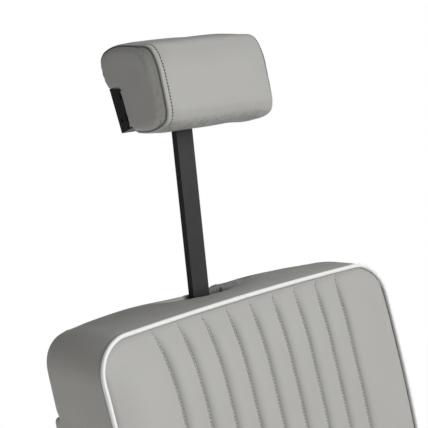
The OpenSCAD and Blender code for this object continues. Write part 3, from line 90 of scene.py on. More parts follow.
def hermite(xs, ys, x):
    """Smooth curve through a row of points, at the places x."""
    xs, ys, x = np.asarray(xs, float), np.asarray(ys, float), np.asarray(x, float)
    slope = np.gradient(ys, xs)
    k = np.clip(np.searchsorted(xs, x, side="right") - 1, 0, len(xs) - 2)
    h = xs[k + 1] - xs[k]
    t = np.clip((x - xs[k]) / h, 0, 1)
    return (ys[k] * (1 + 2 * t) * (1 - t) ** 2 + slope[k] * h * t * (1 - t) ** 2
            + ys[k + 1] * t * t * (3 - 2 * t) + slope[k + 1] * h * t * t * (t - 1))


def closed_curve(points, count):
    """Evenly spaced points on a closed smooth curve through the given points."""
    p = np.asarray(points, float)
    n = len(p)
    dense = []
    for i in range(n):
        a, b, c, d = p[i - 1], p[i], p[(i + 1) % n], p[(i + 2) % n]
        for t in np.linspace(0, 1, 16, endpoint=False):
            dense.append(0.5 * (2 * b + (c - a) * t + (2 * a - 5 * b + 4 * c - d) * t ** 2
                                + (3 * b - a - 3 * c + d) * t ** 3))
    dense = np.array(dense)
    step = np.linalg.norm(np.roll(dense, -1, 0) - dense, axis=1)
    run = np.concatenate([[0], np.cumsum(step)])
    want = np.linspace(0, run[-1], count, endpoint=False)
    loop = np.vstack([dense, dense[:1]])
    return np.stack([np.interp(want, run, loop[:, k]) for k in range(p.shape[1])], 1)


def ripple(a, b, seed, waves=7):
    """Seeded gentle unevenness between about -1 and 1 from two coordinates in millimetres."""
    rng = np.random.default_rng(seed)
    total = np.zeros_like(np.asarray(a, float))
    for _ in range(waves):
        angle, length, phase = rng.uniform(0, math.pi), rng.uniform(30, 110), rng.uniform(0, 6.28)
        total += np.sin((a * math.cos(angle) + b * math.sin(angle)) * 2 * math.pi / length + phase)
    return total / waves * 1.6


# Materials

def node(tree, kind, **values):
    made = tree.nodes.new(kind)
    for key, value in values.items():
        if hasattr(made, key):
            setattr(made, key, value)
        else:
            made.inputs[key.replace("_", " ")].default_value = value
    return made


def material(name, color, rough, metallic=0.0, spec=0.5, tone=0.06, tone_scale=14.0,
             rough_vary=0.06, grain=(), attribute=None, stretch=None):
    """A Principled material with uneven colour and roughness and a bump from its own grain.
    grain is a list of (texture, scale, strength, distance); attribute names a mark of painted
    shade, which darkens the colour where it is high."""
    mat = bpy.data.materials.new(name)
    mat.use_nodes = True
    tree = mat.node_tree
    shader = tree.nodes["Principled BSDF"]
    shader.inputs["Metallic"].default_value = metallic
    shader.inputs["Specular IOR Level"].default_value = spec
    link = tree.links.new
    place = node(tree, "ShaderNodeTexCoord").outputs["Object"]
    if stretch:
        mapping = node(tree, "ShaderNodeMapping")
        mapping.inputs["Scale"].default_value = stretch
        link(place, mapping.inputs["Vector"])
        place = mapping.outputs["Vector"]
    noise = node(tree, "ShaderNodeTexNoise", Scale=tone_scale, Detail=4.0)
    link(place, noise.inputs["Vector"])
    low = [c * (1 - tone) for c in color]
    high = [min(1, c * (1 + tone)) for c in color]
    ramp = node(tree, "ShaderNodeValToRGB")
    ramp.color_ramp.elements[0].position, ramp.color_ramp.elements[1].position = 0.3, 0.7
    ramp.color_ramp.elements[0].color = (*low, 1)
    ramp.color_ramp.elements[1].color = (*high, 1)
    link(noise.outputs["Fac"], ramp.inputs["Fac"])
    out = ramp.outputs["Color"]
    if attribute:
        mark = node(tree, "ShaderNodeAttribute", attribute_name=attribute)
        mix = node(tree, "ShaderNodeMix", data_type="RGBA")
        mix.inputs["B"].default_value = (*[c * SEAM_SHADE for c in color], 1)
        link(mark.outputs["Fac"], mix.inputs["Factor"])
        link(out, mix.inputs["A"])
        out = mix.outputs["Result"]
    link(out, shader.inputs["Base Color"])
    spread = node(tree, "ShaderNodeMapRange")
    spread.inputs["To Min"].default_value = max(0.02, rough - rough_vary)
    spread.inputs["To Max"].default_value = min(1.0, rough + rough_vary)
    link(noise.outputs["Fac"], spread.inputs["Value"])
    link(spread.outputs["Result"], shader.inputs["Roughness"])
    normal = None
    for kind, scale, strength, distance in grain:
        if kind == "cells":
            texture = node(tree, "ShaderNodeTexVoronoi", feature="DISTANCE_TO_EDGE", Scale=scale)
            height = texture.outputs["Distance"]
        elif kind == "streaks":
            texture = node(tree, "ShaderNodeTexWave", Scale=scale, Distortion=6.0, Detail=3.0)
            height = texture.outputs["Fac"]
        else:
            texture = node(tree, "ShaderNodeTexNoise", Scale=scale, Detail=3.0)
            height = texture.outputs["Fac"]
        link(place, texture.inputs["Vector"])
        bump = node(tree, "ShaderNodeBump", Strength=strength, Distance=distance)
        link(height, bump.inputs["Height"])
        if normal is not None:
            link(normal, bump.inputs["Normal"])
        normal = bump.outputs["Normal"]
    if normal is not None:
        link(normal, shader.inputs["Normal"])
    return mat


VINYL = (0.462, 0.457, 0.435)
SEAM_SHADE = 0.05  # share of the colour that is left where the painted shade is darkest
LEATHER = [("cells", 900.0, 0.10, 0.0004), ("noise", 260.0, 0.05, 0.0006)]
M = {
    # the vinyl takes painted shade from its meshes' marks: seams, creases, the slit and its lip
    "vinyl": material("grey_vinyl_soft", VINYL, 0.50, spec=0.35, tone=0.02, grain=LEATHER,
                      attribute="seam"),
    "thread": material("grey_thread", (0.62, 0.615, 0.595), 0.65, spec=0.3, tone=0.10,
                       tone_scale=300.0, grain=[("noise", 2600.0, 0.4, 0.0002)]),
    # the needle holes' dark colour is painted shade inside them
    "hole": material("needle_hole_shade", (0.075, 0.074, 0.07), 0.8, spec=0.15, tone=0.2,
                     tone_scale=200.0, grain=[("noise", 1500.0, 0.3, 0.0002)]),
    "piping": material("white_piping_vinyl", (0.99, 0.99, 0.98), 0.42, spec=0.35, tone=0.015,
                       grain=[("cells", 1100.0, 0.06, 0.0003)]),
    "black_steel": material("black_powder_coat", (0.015, 0.015, 0.0155), 0.44, spec=0.4, tone=0.15,
                            tone_scale=40.0, grain=[("noise", 1400.0, 0.18, 0.0003)]),
    "chrome": material("polished_chrome", (0.80, 0.80, 0.81), 0.10, metallic=1.0, tone=0.02,
                       rough_vary=0.03, grain=[("noise", 60.0, 0.01, 0.0005)]),
    "black_rubber": material("moulded_rubber", (0.022, 0.022, 0.022), 0.72, spec=0.3, tone=0.12,
                             grain=[("cells", 520.0, 0.25, 0.0004)]),
    "plywood": material("birch_plywood", (0.52, 0.36, 0.20), 0.62, spec=0.3, tone=0.22,
                        tone_scale=5.0, grain=[("streaks", 30.0, 0.12, 0.0005)],
                        stretch=(1.0, 9.0, 1.0)),
    "zinc_steel": material("zinc_plated_steel", (0.50, 0.50, 0.52), 0.36, metallic=1.0, tone=0.10,
                           tone_scale=80.0, grain=[("noise", 700.0, 0.08, 0.0003)]),
    "nylon": material("moulded_nylon", (0.035, 0.035, 0.038), 0.5, spec=0.4, tone=0.1,
                      grain=[("noise", 900.0, 0.1, 0.0003)]),
}
slots = {part["node"]: part.get("material_slot") for part in frame["record"]["subparts"]}
for name, obj in frame["nodes"].items():
    mat = M.get(slots.get(name))
    if mat is None:
        continue
    if obj.material_slots:
        for held in obj.material_slots:
            held.material = mat
    else:
        obj.data.materials.append(mat)


# Meshes

def piece(name, points, faces, mat, body, slot, nodes=(), seam=None, fill=None):
    """A new smooth mesh from points in millimetres, riding on a body."""
    mesh = bpy.data.meshes.new(name)
    mesh.from_pydata((np.asarray(points, float) * MM).tolist(), [], [list(f) for f in faces])
    mesh.validate()
    mesh.polygons.foreach_set("use_smooth", [True] * len(mesh.polygons))
    marks = np.asarray(np.zeros(len(mesh.vertices)) if seam is None else seam, np.float32)
    # the marks of painted shade, read by the vinyl's colour
    mesh.attributes.new("seam", "FLOAT", "POINT").data.foreach_set("value", marks)
    mesh.materials.append(mat)
    mesh.update()
    obj = bpy.data.objects.new(name, mesh)
    scene.collection.objects.link(obj)
    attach(obj, body)
    if nodes:
        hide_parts(*nodes)
    return obj


def strip(rows, around, closed_rows=False):
    """Quads between rows of equal length; each row is closed."""
    faces = []
    count = len(rows)
    for i in range(count if closed_rows else count - 1):
        a, b = rows[i], rows[(i + 1) % count]
        for k in range(around):
            k2 = (k + 1) % around
            faces.append((a[k], b[k], b[k2], a[k2]))
    return faces


def cap(row, centre, flip=False):
    """Triangles from a closed row to a centre point."""
    faces = [(a, centre, b) for a, b in zip(row, row[1:] + row[:1])]
    return [face[::-1] for face in faces] if flip else faces


def add_row(points, rows, marks, new, mark=0.0):
    """Adds a closed row of points, with one mark of painted shade for all or one for each."""
    rows.append(list(range(len(points), len(points) + len(new))))
    points.extend(new)
    marks.extend(np.broadcast_to(mark, len(new)))


def tube(path, radius, sides, side_dir):
    """Closed round tube along a closed row of points."""
    path = np.asarray(path, float)
    way = np.roll(path, -1, 0) - np.roll(path, 1, 0)
    ax = np.cross(way, side_dir)
    ax /= np.linalg.norm(ax, axis=1)[:, None]
    bx = np.cross(ax, way)
    bx /= np.linalg.norm(bx, axis=1)[:, None]
    points = []
    for k in range(sides):
        a = 2 * math.pi * k / sides
        points.append(path + radius * (ax * math.cos(a) + bx * math.sin(a)))
    points = np.stack(points, 1).reshape(-1, 3)
    rows = [list(range(i * sides, (i + 1) * sides)) for i in range(len(path))]
    return points, strip(rows, sides, closed_rows=True)


def run_along(path):
    """Distance of each point of a row from its first."""
    return np.concatenate([[0], np.cumsum(np.linalg.norm(np.diff(path, axis=0), axis=1))])


def at(place, run, values):
    """The values' point at a place along the run."""
    return np.array([np.interp(place, run, values[:, k]) for k in range(3)])


def stitches(path, up, length=3.3, pitch=STITCH, radius=0.55):
    """Short rounded threads along a row of points, each lying in the surface with the given up."""
    path, up = np.asarray(path, float), np.asarray(up, float)
    run = run_along(path)
    points, faces = [], []
    s = pitch / 2
    while s + length < run[-1]:
        start, end, n = at(s, run, path), at(s + length, run, path), at(s, run, up)
        way = end - start
        way /= np.linalg.norm(way)
        side = np.cross(way, n)
        side /= np.linalg.norm(side)
        n = np.cross(side, way)
        base = len(points)
        for t, r, drop in ((0.0, 0.35, 0.9), (0.2, 0.9, 0.2), (0.8, 0.9, 0.2), (1.0, 0.35, 0.9)):
            mid = start + (end - start) * t - n * radius * drop
            for k in range(6):
                a = math.pi * k / 3
                points.append(mid + radius * r * (side * math.cos(a) + n * math.sin(a)))
        rows = [list(range(base + 6 * i, base + 6 * i + 6)) for i in range(4)]
        faces += strip(rows, 6)
        faces += [tuple(rows[0]), tuple(reversed(rows[3]))]
        s += pitch
    return points, faces


def holes(path, up, pitch, size):
    """Low dimples where the needle went in, between the threads, coloured dark as painted shade
    inside the holes.
    """
    run = run_along(path)
    points, faces = [], []
    s = pitch / 2 - 0.5
    while s < run[-1] - 1:
        mid, on, n = at(s, run, path), at(s + 1, run, path), at(s, run, up)
        way = (on - mid) / np.linalg.norm(on - mid)
        side = np.cross(way, n)
        side /= np.linalg.norm(side)
        n = np.cross(side, way)
        base = len(points)
        points.append(mid + n * 0.32)
        for k in range(8):
            a = math.pi * k / 4
            points.append(mid + size * (way * math.cos(a) + 0.75 * side * math.sin(a)) - n * 0.15)
        faces += [(base, base + 1 + k, base + 1 + (k + 1) % 8) for k in range(8)]
        faces.append(tuple(base + 1 + k for k in reversed(range(8))))
        s += pitch
    return points, faces


class Batch:
    """Several small meshes gathered into one piece."""

    def __init__(self):
        self.points, self.faces = [], []

    def add(self, points, faces):
        base = len(self.points)
        self.points += list(points)
        self.faces += [tuple(base + i for i in f) for f in faces]


# Padded form with stitched channels: u across, v along, d from the front face to the rear

def corner_drop(e, r):
    """How far a rounded corner of radius r falls back, e past its start."""
    return np.where(e <= 0, 0, r - np.sqrt(np.maximum(0, r * r - np.maximum(e, 0) ** 2)))


def outward(u, v, hw, r, length):
    """Directions away from a rounded rectangle at points of its border."""
    core = np.stack([np.clip(u, -(hw - r), hw - r), np.clip(v, r, length - r)], -1)
    d = np.stack([u, v], -1) - core
    size = np.linalg.norm(d, axis=-1, keepdims=True)
    return np.where(size > 1e-9, d / np.maximum(size, 1e-9), 0)


def across(hw, r, fine=0):
    """Columns on the whole width: close beside each seam and round the corners."""
    half = {0.0}
    for i in range(SEAMS + 1):
        for o in (0, 0.9, 2.2, 4.2, 7, 10.5, 15, PITCH / 2):
            for x in (i * PITCH - o, i * PITCH + o):
                if i == SEAMS or 0 <= x <= SEAMS * PITCH:
                    half.add(round(x, 4))
    half |= {round(x, 4) for x in np.arange(SEAMS * PITCH + PITCH / 2 + 5, hw - r, 5.5)}
    if fine:
        half |= {round(x, 4) for x in np.arange(0, fine, 2.1)}
    half |= {round(hw - r + r * math.sin(math.radians(a)), 4) for a in range(0, 91, 6)}
    half = sorted(x for x in half if 0 <= x <= hw)
    keep = [half[0]]
    for x in half[1:]:
        if x - keep[-1] > 0.55:
            keep.append(x)
    keep[-1] = hw
    return np.array([-x for x in reversed(keep[1:])] + keep)


def along(length):
    """Rows as shares of the length, closer together at the two edges."""
    edge = [0, 1.5, 3.5, 6, 9, 12.5, 16.5, 21]
    middle = list(np.arange(26, length - 25, 5.2))
    return np.array(edge + middle + [length - e for e in reversed(edge)]) / length


# The channels fan out towards the top: share of u to add, at rows along v
FAN_V = [0, 9, 16, 29, 43, 62, 83, 99, 115]
FAN = [0.076, 0.070, 0.046, 0.035, 0.024, 0.016, 0.0085, 0.0035, 0]


def channel(u, v, length):
    """How far the stitched face lies below the plain pad, in millimetres."""
    i = np.clip(np.round(np.abs(u) / PITCH), 0, SEAMS)
    t = np.abs(np.abs(u) - i * PITCH)
    q = np.clip(t / (PITCH / 2), 0, 1)
    edge = np.minimum(v, length - v)
    fade = smooth(edge, 2, 8) * (0.42 + 0.58 * smooth(edge, 6, 46))
    pull = 1 + 0.05 * ripple(v, i * 57, 5)
    return fade * (SEAM_DEPTH * (1 - q) ** 2.7 * pull + 0.9 * np.exp(-(t / 1.3) ** 2))


def face_height(u, top, low, hw, crown, lips):
    """Crown of the face, from the distances to its top and lower edges, creased by the piping."""
    side = hw - np.abs(u)
    rise = 1.0
    for e, start, reach in ((side, 5, 50), (top, 6, lips[0]), (low, 5, lips[1])):
        rise = rise * np.sin(np.pi / 2 * np.clip((e - start) / reach, 0, 1))
    near = np.minimum(np.minimum(side, top), low)
    return crown * rise * (1 - 0.25 * (u / hw) ** 4) - 1.6 * np.exp(-((near - 4) / 2.4) ** 2), near


def stitched(hw, length, r, arch, crown, us, rings, place, wall, swell, uneven, lips, fan,
             rear_rings=14):
    """Points, quads, marks of painted shade and the face's grid of a padded form.
    place(u, v, d) gives points, wall(u, v, d, o) the outward offset of the side at depth d, and
    swell(p, u, v, d, o) moves the side's points."""
    shares = along(length)
    vt = arch * (us / hw) ** 2 + corner_drop(np.abs(us) - (hw - r), r)
    vb = length - corner_drop(np.abs(us) - (hw - r), r)
    V = vt[:, None] + shares[None, :] * (vb - vt)[:, None]
    U = np.repeat(us[:, None], len(shares), 1)
    high, e = face_height(U, V - vt[:, None], vb[:, None] - V, hw, crown, lips)
    lump = uneven * ripple(U, V, 11) * smooth(e, 4, 40)
    # the vinyl gathers a little beside the piping
    pucker = 0.35 * np.exp(-(e / 7.0) ** 2) * ripple(U * 3.1, V * 3.1, 23) * smooth(e, 0, 3)
    H = high - channel(U, V, length) + lump + pucker
    H[0, :] = H[-1, :] = 0
    H[:, 0] = H[:, -1] = 0
    if fan:
        U = U + U * np.interp(V, FAN_V, FAN) * (1 - smooth(np.abs(U), 172, 212))
    n, m = U.shape
    front = place(U, V, -H)
    grid = np.arange(n * m).reshape(n, m)
    quads = [(grid[i, j], grid[i + 1, j], grid[i + 1, j + 1], grid[i, j + 1])
             for i in range(n - 1) for j in range(m - 1)]
    border = ([grid[i, 0] for i in range(n)] + [grid[n - 1, j] for j in range(1, m)]
              + [grid[i, m - 1] for i in range(n - 2, -1, -1)]
              + [grid[0, j] for j in range(m - 2, 0, -1)])
    bu, bv = U.reshape(-1)[border], V.reshape(-1)[border]
    o = outward(bu, bv, hw, r, length)
    # painted shade: a dark crease just inside the piping and, faded towards the ends, a dark line
    # and a soft shaded valley right of each seam
    crease = 0.5 * np.exp(-((e - 3.9) / 1.0) ** 2)
    near_end = smooth(np.minimum(V, length - V), 6, 34)
    right_of = us[:, None] - np.clip(np.round(us / PITCH), -SEAMS, SEAMS)[:, None] * PITCH
    line = 0.13 * np.exp(-((right_of - 1.6) / 1.8) ** 2)
    valley = 0.13 * np.exp(-(right_of / 7.0) ** 2) * smooth(right_of, -1.5, 1.0)
    points = list(front.reshape(-1, 3))
    seam = list(np.maximum(near_end * np.maximum(line, valley), crease).reshape(-1))
    rows = [list(border)]
    for d in rings:
        off, depth = wall(bu, bv, d, o)
        eu, ev = bu + off * o[:, 0], bv + off * o[:, 1]
        # painted shade on the boxing just behind the piping
        add_row(points, rows, seam, swell(place(eu, ev, depth, True), bu, bv, d, o),
                0.35 * math.exp(-((d * 100 - 3.2) / 0.9) ** 2))
    for k in 1 - np.linspace(0, 1, rear_rings + 2)[1:-1]:
        add_row(points, rows, seam, place(eu * k, length / 2 + (ev - length / 2) * k, depth, True))
    quads += strip(rows, len(border)) + cap(rows[-1], len(points))
    points.extend(place(np.array([0.0]), np.array([length / 2]), depth[:1] * 0 + depth.max(), True))
    seam.append(0.0)
    quads = [tuple(int(i) for i in q) for q in quads]
    return np.array(points), quads, np.array(seam), (us, V, front)


def seam_threads(name, grid, normal, body):
    """Threads lying in each of the nine seams of a stitched face, as one piece."""
    us, V, front = grid
    batch = Batch()
    for i in range(-SEAMS, SEAMS + 1):
        k = int(np.argmin(np.abs(us - i * PITCH)))
        keep = (V[k] > V[k, 0] + THREAD_END) & (V[k] < V[k, -1] - THREAD_END)
        up = np.repeat([np.array(normal, float)], int(keep.sum()), 0)
        batch.add(*stitches(front[k][keep] + THREAD_UP * up + (THREAD_SIDE, 0, 0), up, length=2.6,
                            radius=1.4))
    piece(name, batch.points, batch.faces, M["thread"], body, "grey_vinyl")


# Back

def front_point(v):
    """Y and Z of the back's front face, v down from its top."""
    a = math.radians(BACK_LEAN) - v / BACK_CURVE
    return (BACK_Y + BACK_CURVE * (math.cos(math.radians(BACK_LEAN)) - np.cos(a)),
            BACK_Z - BACK_CURVE * (math.sin(math.radians(BACK_LEAN)) - np.sin(a)))


RC, RS = math.cos(math.radians(REAR_LEAN)), math.sin(math.radians(REAR_LEAN))


def rear_point(u, v):
    """Y and Z of the back's rear: the bare band on top, then the face behind the rear panel."""
    w = v * PLANE_L / BACK_L
    covered = 1 - smooth(w, BAND_H + 4, BAND_H + 16)
    c = REAR_CROWN * (1 - (2 * u / SEAT_W) ** 2) * covered
    b = BAND_FOOT + (BAND_TOP - BAND_FOOT) * np.clip(1 - np.maximum(v, 0) / BAND_H, 0, 1)
    b = b * covered
    b = b - 4.4 * smooth(w, BAND_H - 12, BAND_H + 3) * smooth(np.abs(u), 200, 250)
    return (BACK_Y + TOP_DEPTH - w * RS + c * RC + b, BACK_Z - TOP_DROP - w * RC - c * RS)


def back_place(u, v, d, deep=False):
    """d is a share of the depth where deep, otherwise millimetres in from the front face."""
    fy, fz = front_point(v)
    if not deep:
        a = math.radians(BACK_LEAN) - v / BACK_CURVE
        return np.stack([u + 0 * fy, fy + d * np.cos(a), fz - d * np.sin(a)], -1)
    gy, gz = rear_point(u, v)
    return np.stack([u + 0 * fy, fy + d * (gy - fy), fz + d * (gz - fz)], -1)


BACK_D = TOP_DEPTH + BAND_TOP
# Outward bulge of the boxing at shares of the depth, beside the bare band and below it
BULGE_TOP = [0, 0.05, 0.25, 0.55, 0.82], [0, 2.0, 4.5, 4.2, 0.6]
BULGE_LOW = [0, 0.05, 0.25, 0.55, 0.86], [0, 2.0, 4.5, 4.2, 1.6]
TOP_HALF = 130.0  # where the top edge stands highest, either side of the middle


def boxing(d, bulge, r, share):
    """Outward offset at depth share d: a bulge, then a rear edge of radius r on the last share."""
    if d > 1 - share:
        return bulge[1][-1] - r * (1 - math.sqrt(max(0, 1 - ((d - 1 + share) / share) ** 2)))
    return float(hermite(*bulge, min(d, bulge[0][-1])))


def back_wall(u, v, d, o):
    below = smooth(v, 1.02 * BAND_H, 1.2 * BAND_H)
    e0 = boxing(d, BULGE_TOP, EDGE_R, EDGE_R / BACK_D)
    e1 = boxing(d, BULGE_LOW, LOW_R, LOW_R / BACK_D)
    diagonal = np.where(v < BACK_L / 2, np.abs(2 * o[:, 0] * o[:, 1]), 0)
    flat = 3.4 * np.where(u > 0, diagonal, 0) * math.sin(math.pi * min(1, d / 0.9))
    a = np.abs(u)
    rise = -2.8 + 6.0 * np.sin(np.pi / 2 * np.minimum(a, TOP_HALF) / TOP_HALF) ** 2
    fall = 3.2 * np.maximum(0, np.cos(np.pi / 2 * (a - TOP_HALF) / (SEAT_W / 2 - 156)))
    swell = np.where(o[:, 1] < -0.98, np.where(a < TOP_HALF, rise, fall), 0)
    off = e0 + (e1 - e0) * below - flat + min(1, d / 0.8) ** 2 * (3.2 * diagonal + swell)
    # the boxing ripples a little between piping and rear edge
    off = off + 0.5 * ripple(u + v, np.full_like(u, d * 110), 31) * np.sin(np.pi * min(1, d / 0.85))
    return off, np.full_like(u, d)


SLOT_Z = BACK_Z - TOP_DROP * BAR_Y / TOP_DEPTH
# Half width of the slit either side of its middle line, and its depth, along the chair's X
SLIT_X = [-60, -40, -26, -21, -17, 0, 16, 20, 30, 34, 41, 46, 60, 80, 95]
SLIT_W = [2.0, 1.8, 2.2, 4.8, 5.9, 5.9, 5.9, 3.2, 3.4, 6.6, 6.6, 3.2, 2.6, 2.2, 2.4]
SLIT_D = [0, 1.5, 7, 13, 14, 14, 14, 10, 10, 14, 14, 9, 6, 2.5, 0]
SAG = 10.5


def behind_slit(p):
    """Distance of points behind the slit's middle line, square to the chair's X."""
    return p[:, 1] - (BACK_Y + BAR_Y) - (p[:, 2] - SLOT_Z) * math.tan(math.radians(BAR_LEAN))


def window(x, a, b, c, d):
    """Rises from 0 to 1 between a and b and falls back between c and d."""
    return smooth(x, a, b) * (1 - smooth(x, c, d))


def back_slit(p, u, v, d, o):
    """Presses the slit for the headrest bar into the top, with a gathered lip behind it."""
    top = (o[:, 1] < -0.98) & (np.abs(u) < 110)
    s = behind_slit(p)
    x = p[:, 0]
    w = np.interp(x, SLIT_X, SLIT_W)
    deep = np.interp(x, SLIT_X, SLIT_D)
    inside = 1 - smooth(np.abs(s), w * 0.75, w + 1.6)
    roll = np.where(s > 0, 1.6, 0.4) * np.exp(-((np.abs(s) - w - 3.5) / 3.2) ** 2)
    roll = roll * np.interp(x, [-60, -25, 0, 60, 85], [0, 1, 1, 1, 0]) * (1 + 0.1 * np.sin(x / 2.1))
    behind = np.interp(x, [-30, 5, 17, 21, 30, 37, 60, 85], [0, -0.5, -1.4, -1.0, 1.0, 2.0, 1.0, 0])
    behind = behind * np.exp(-((s - 11) / 7.5) ** 2)
    gather = 1 + 0.6 * np.sin(x * 2 * math.pi / 4.6 + 0.5 * np.sin(x / 6))
    # the top sags towards the slit from the front
    sag = np.interp(x, [-90, -40, -15, 45, 75, 110], [0, 0.5, 1, 1, 0.45, 0])
    sag = sag * np.where(s < 0, np.exp(-(s / 32) ** 2), 1 - smooth(s, 3, 9))
    move = roll + behind * gather - deep * inside - SAG * sag
    # the rear rim dips a little beside the bar
    move = move - 3.2 * np.exp(-((x - 38) / 13) ** 2) * smooth(s, 12, 24)
    out = p.copy()
    out[:, 2] += np.where(top, move, 0)
    # the rear top edge lies a little higher on the left than on the right
    lower = np.interp(u, [-270, 0, 80, 160, 230, 270], [0.3, 0, -1.4, -3.8, -4.2, -3])
    out[:, 2] += lower * smooth(d, 0.3, 0.9) * np.maximum(0, -o[:, 1])
    return out


# Depth shares of the rings round the back's side, closest at the rear panel's edge and corner
BACK_RINGS = [0.012, 0.03, 0.045, 0.06, 0.09, 0.13, 0.18, 0.24, 0.31, 0.38, 0.45, 0.52, 0.57, 0.60,
              0.62, 0.635, 0.65, 0.662, 0.674, 0.686, 0.698, 0.71, 0.722, 0.734, 0.746, 0.758, 0.77,
              0.782, 0.794, 0.808, 0.822, 0.84, 0.86, 0.88, 0.90, 0.92, 0.938, 0.954, 0.968, 0.98,
              0.989, 0.996, 1.0]
pts, quads, seam, back_grid = stitched(
    SEAT_W / 2, BACK_L, BACK_R, BACK_ARCH, BACK_CROWN, across(SEAT_W / 2, BACK_R, fine=84),
    BACK_RINGS, back_place, back_wall, back_slit, 0.25, (85, 45), True)


def slit_shade(p):
    """Painted shade in the slit, in the holes either side of the bar and on the lip behind."""
    x, s = p[:, 0], behind_slit(p)
    w, deep = np.interp(x, SLIT_X, SLIT_W), np.interp(x, SLIT_X, SLIT_D)
    slit = (1 - smooth(np.abs(s), w * 0.9, w + 2.4)) * smooth(deep, 5, 12)
    hole = np.maximum(window(x, 34, 37, 49, 53) * smooth(s, -7, -5),
                      window(-x, 15, 17, 20, 23) * smooth(s, -6, -4)) * (1 - smooth(s, 6.2, 7.3))
    # painted shade on the gathered lip behind the slit, strongest right of the bar
    lip = np.interp(x, [-30, -12, 14, 22, 70, 104, 134], [0, 0.15, 0.2, 0.62, 0.6, 0.45, 0])
    lip = lip * window(s, 2, 5, 34, 44) * (1 + 0.3 * np.sin(x * 1.4 + s * 0.9))
    on_top = (p[:, 2] > SLOT_Z - 24) & (np.abs(x) < 140)
    return np.where(on_top, np.maximum(np.maximum(slit, hole), lip), 0)


piece("back_upholstery", pts, quads, M["vinyl"], "back", "grey_vinyl", ["back_cushion"],
      seam=np.clip(seam + slit_shade(pts), 0, 1), fill=0.8)
seam_threads("back_seam_threads", back_grid, (0, -0.93, 0.37), "back")


def outline(hw, r, arch, length, step=4.5):
    """The piping's line as u, v pairs."""
    flat = np.linspace(-(hw - r), hw - r, int(2 * (hw - r) / step) + 1)
    arc = np.radians(np.arange(5, 90, 5))
    top = [(u, arch * (u / hw) ** 2) for u in flat]
    top += [(u, arch * (u / hw) ** 2 + r - r * math.cos(a))
            for a, u in zip(arc, hw - r + r * np.sin(arc))]
    side = [(hw, v) for v in np.linspace(r + arch, length - r, int((length - 2 * r) / step) + 1)]
    low = [(hw - r + r * math.cos(a), length - r + r * math.sin(a)) for a in arc]
    bottom = [(u, length) for u in flat[::-1]]
    mirrored = [(-u, v) for u, v in reversed(low)] + [(-u, v) for u, v in reversed(side)]
    mirrored += [(-u, v) for u, v in reversed(top[len(flat):])]
    return np.array(top + side + low + bottom + mirrored)


def welt(body, line, place, inward):
    """The piping round a cushion's front edge."""
    path = place(line[:, 0], line[:, 1], 0.0 * line[:, 0])
    piece(body + "_piping_welt", *tube(path, PIPING_D / 2, WELT_SIDES, inward), M["piping"], body,
          "white_piping", [body + "_piping"])


WELT_SIDES = 14
lean = math.radians(BACK_LEAN)
welt("back", outline(SEAT_W / 2, BACK_R, BACK_ARCH, BACK_L), back_place,
     (0, math.cos(lean), -math.sin(lean)))

# Rear panel: crowned, with a rounded rim

panel_low = PLANE_L - PANEL_IN
panel_hw = SEAT_W / 2 - PANEL_IN + 1.6
panel_hl = (panel_low - BAND_H) / 2


def panel_ring(grow):
    """The panel's outline, grown by a margin, with the upper corners nearly square."""
    h, hw, r = panel_hl + grow, panel_hw + grow, PANEL_R + min(0, grow)
    r = max(r, 2.0)
    arc = np.radians(np.arange(0, 91, 9))
    right = [(hw, q) for q in np.linspace(h - 6, -h + r + 6, 40)]
    low = [(hw - r + r * math.cos(a), -h + r - r * math.sin(a)) for a in arc]
    bottom = [(q, -h) for q in np.linspace(hw - r - 6, -hw + r + 6, 44)]
    left = [(-u, w) for u, w in reversed(right)]
    corner = [(hw - 6 + 6 * math.sin(a), h - 6 + 6 * math.cos(a)) for a in arc[:-1]]
    top = [(q, h) for q in np.linspace(-hw + 12, hw - 12, 44)]
    return np.array(right + low + bottom + [(-u, w) for u, w in reversed(low)] + left
                    + [(-u, w) for u, w in reversed(corner)] + top + corner)


def panel_point(ring, level, share):
    """Points at a level above the back's rear, with a share of the panel's crown."""
    u, w = ring[:, 0], ring[:, 1]
    level = level + 4.0 * share * smooth(w, panel_hl - 60, panel_hl - 8)
    crown = PANEL_CROWN * (1 - (u / panel_hw) ** 2) * (0.55 + 0.45 * (1 - (w / panel_hl) ** 2))
    y = level + np.maximum(crown, 0) * share + 0.5 * ripple(u, w, 47) * share
    z = w - BAND_H - panel_hl
    return np.stack([u, BACK_Y + TOP_DEPTH + y * RC + z * RS,
                     BACK_Z - TOP_DROP - y * RS + z * RC], -1)


RIM = 3.6
steps = [(0.0, 0.4, 0.0), (0.0, PANEL_T - RIM - 3.5, 0.9)]
steps += [(-RIM * (1 - math.cos(a)), PANEL_T - RIM + RIM * math.sin(a) - 0.6, 1.0)
          for a in np.radians(range(0, 91, 15))]
steps += [(-RIM - g, PANEL_T - 0.6 + 0.6 * min(1, g / 20), 1.0) for g in (3, 8, 14, 22, 32, 44)]
rows, points, marks = [], [], []
for grow, level, share in steps:
    add_row(points, rows, marks, panel_point(panel_ring(grow), level, share))
inner = panel_ring(-RIM - 44)
for k in np.arange(0.95, 0.04, -0.05):
    add_row(points, rows, marks, panel_point(inner * k, PANEL_T, 1.0))
quads = strip(rows, len(inner))
quads += cap(rows[-1], len(points)) + cap(rows[0], len(points) + 1, flip=True)
middle = np.array([[0.0, 0.0]])
points += [*panel_point(middle, PANEL_T, 1.0), *panel_point(middle, 0.4, 0.0)]
marks += [0.0, 0.0]
piece("back_rear_panel", points, [q[::-1] for q in quads], M["vinyl"], "back", "grey_vinyl",
      ["back_panel"], seam=marks, fill=0.5)

# Seat

seat_board_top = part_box("seat_board")[1].z / MM
seat_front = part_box("seat_piping")[0].y / MM + PIPING_D / 2
SEAT_EDGE_Z = seat_board_top + SEAT_T


def seat_place(u, v, d, deep=False):
    return np.stack([u, v + seat_front, SEAT_EDGE_Z - d * (SEAT_T if deep else 1)], -1)


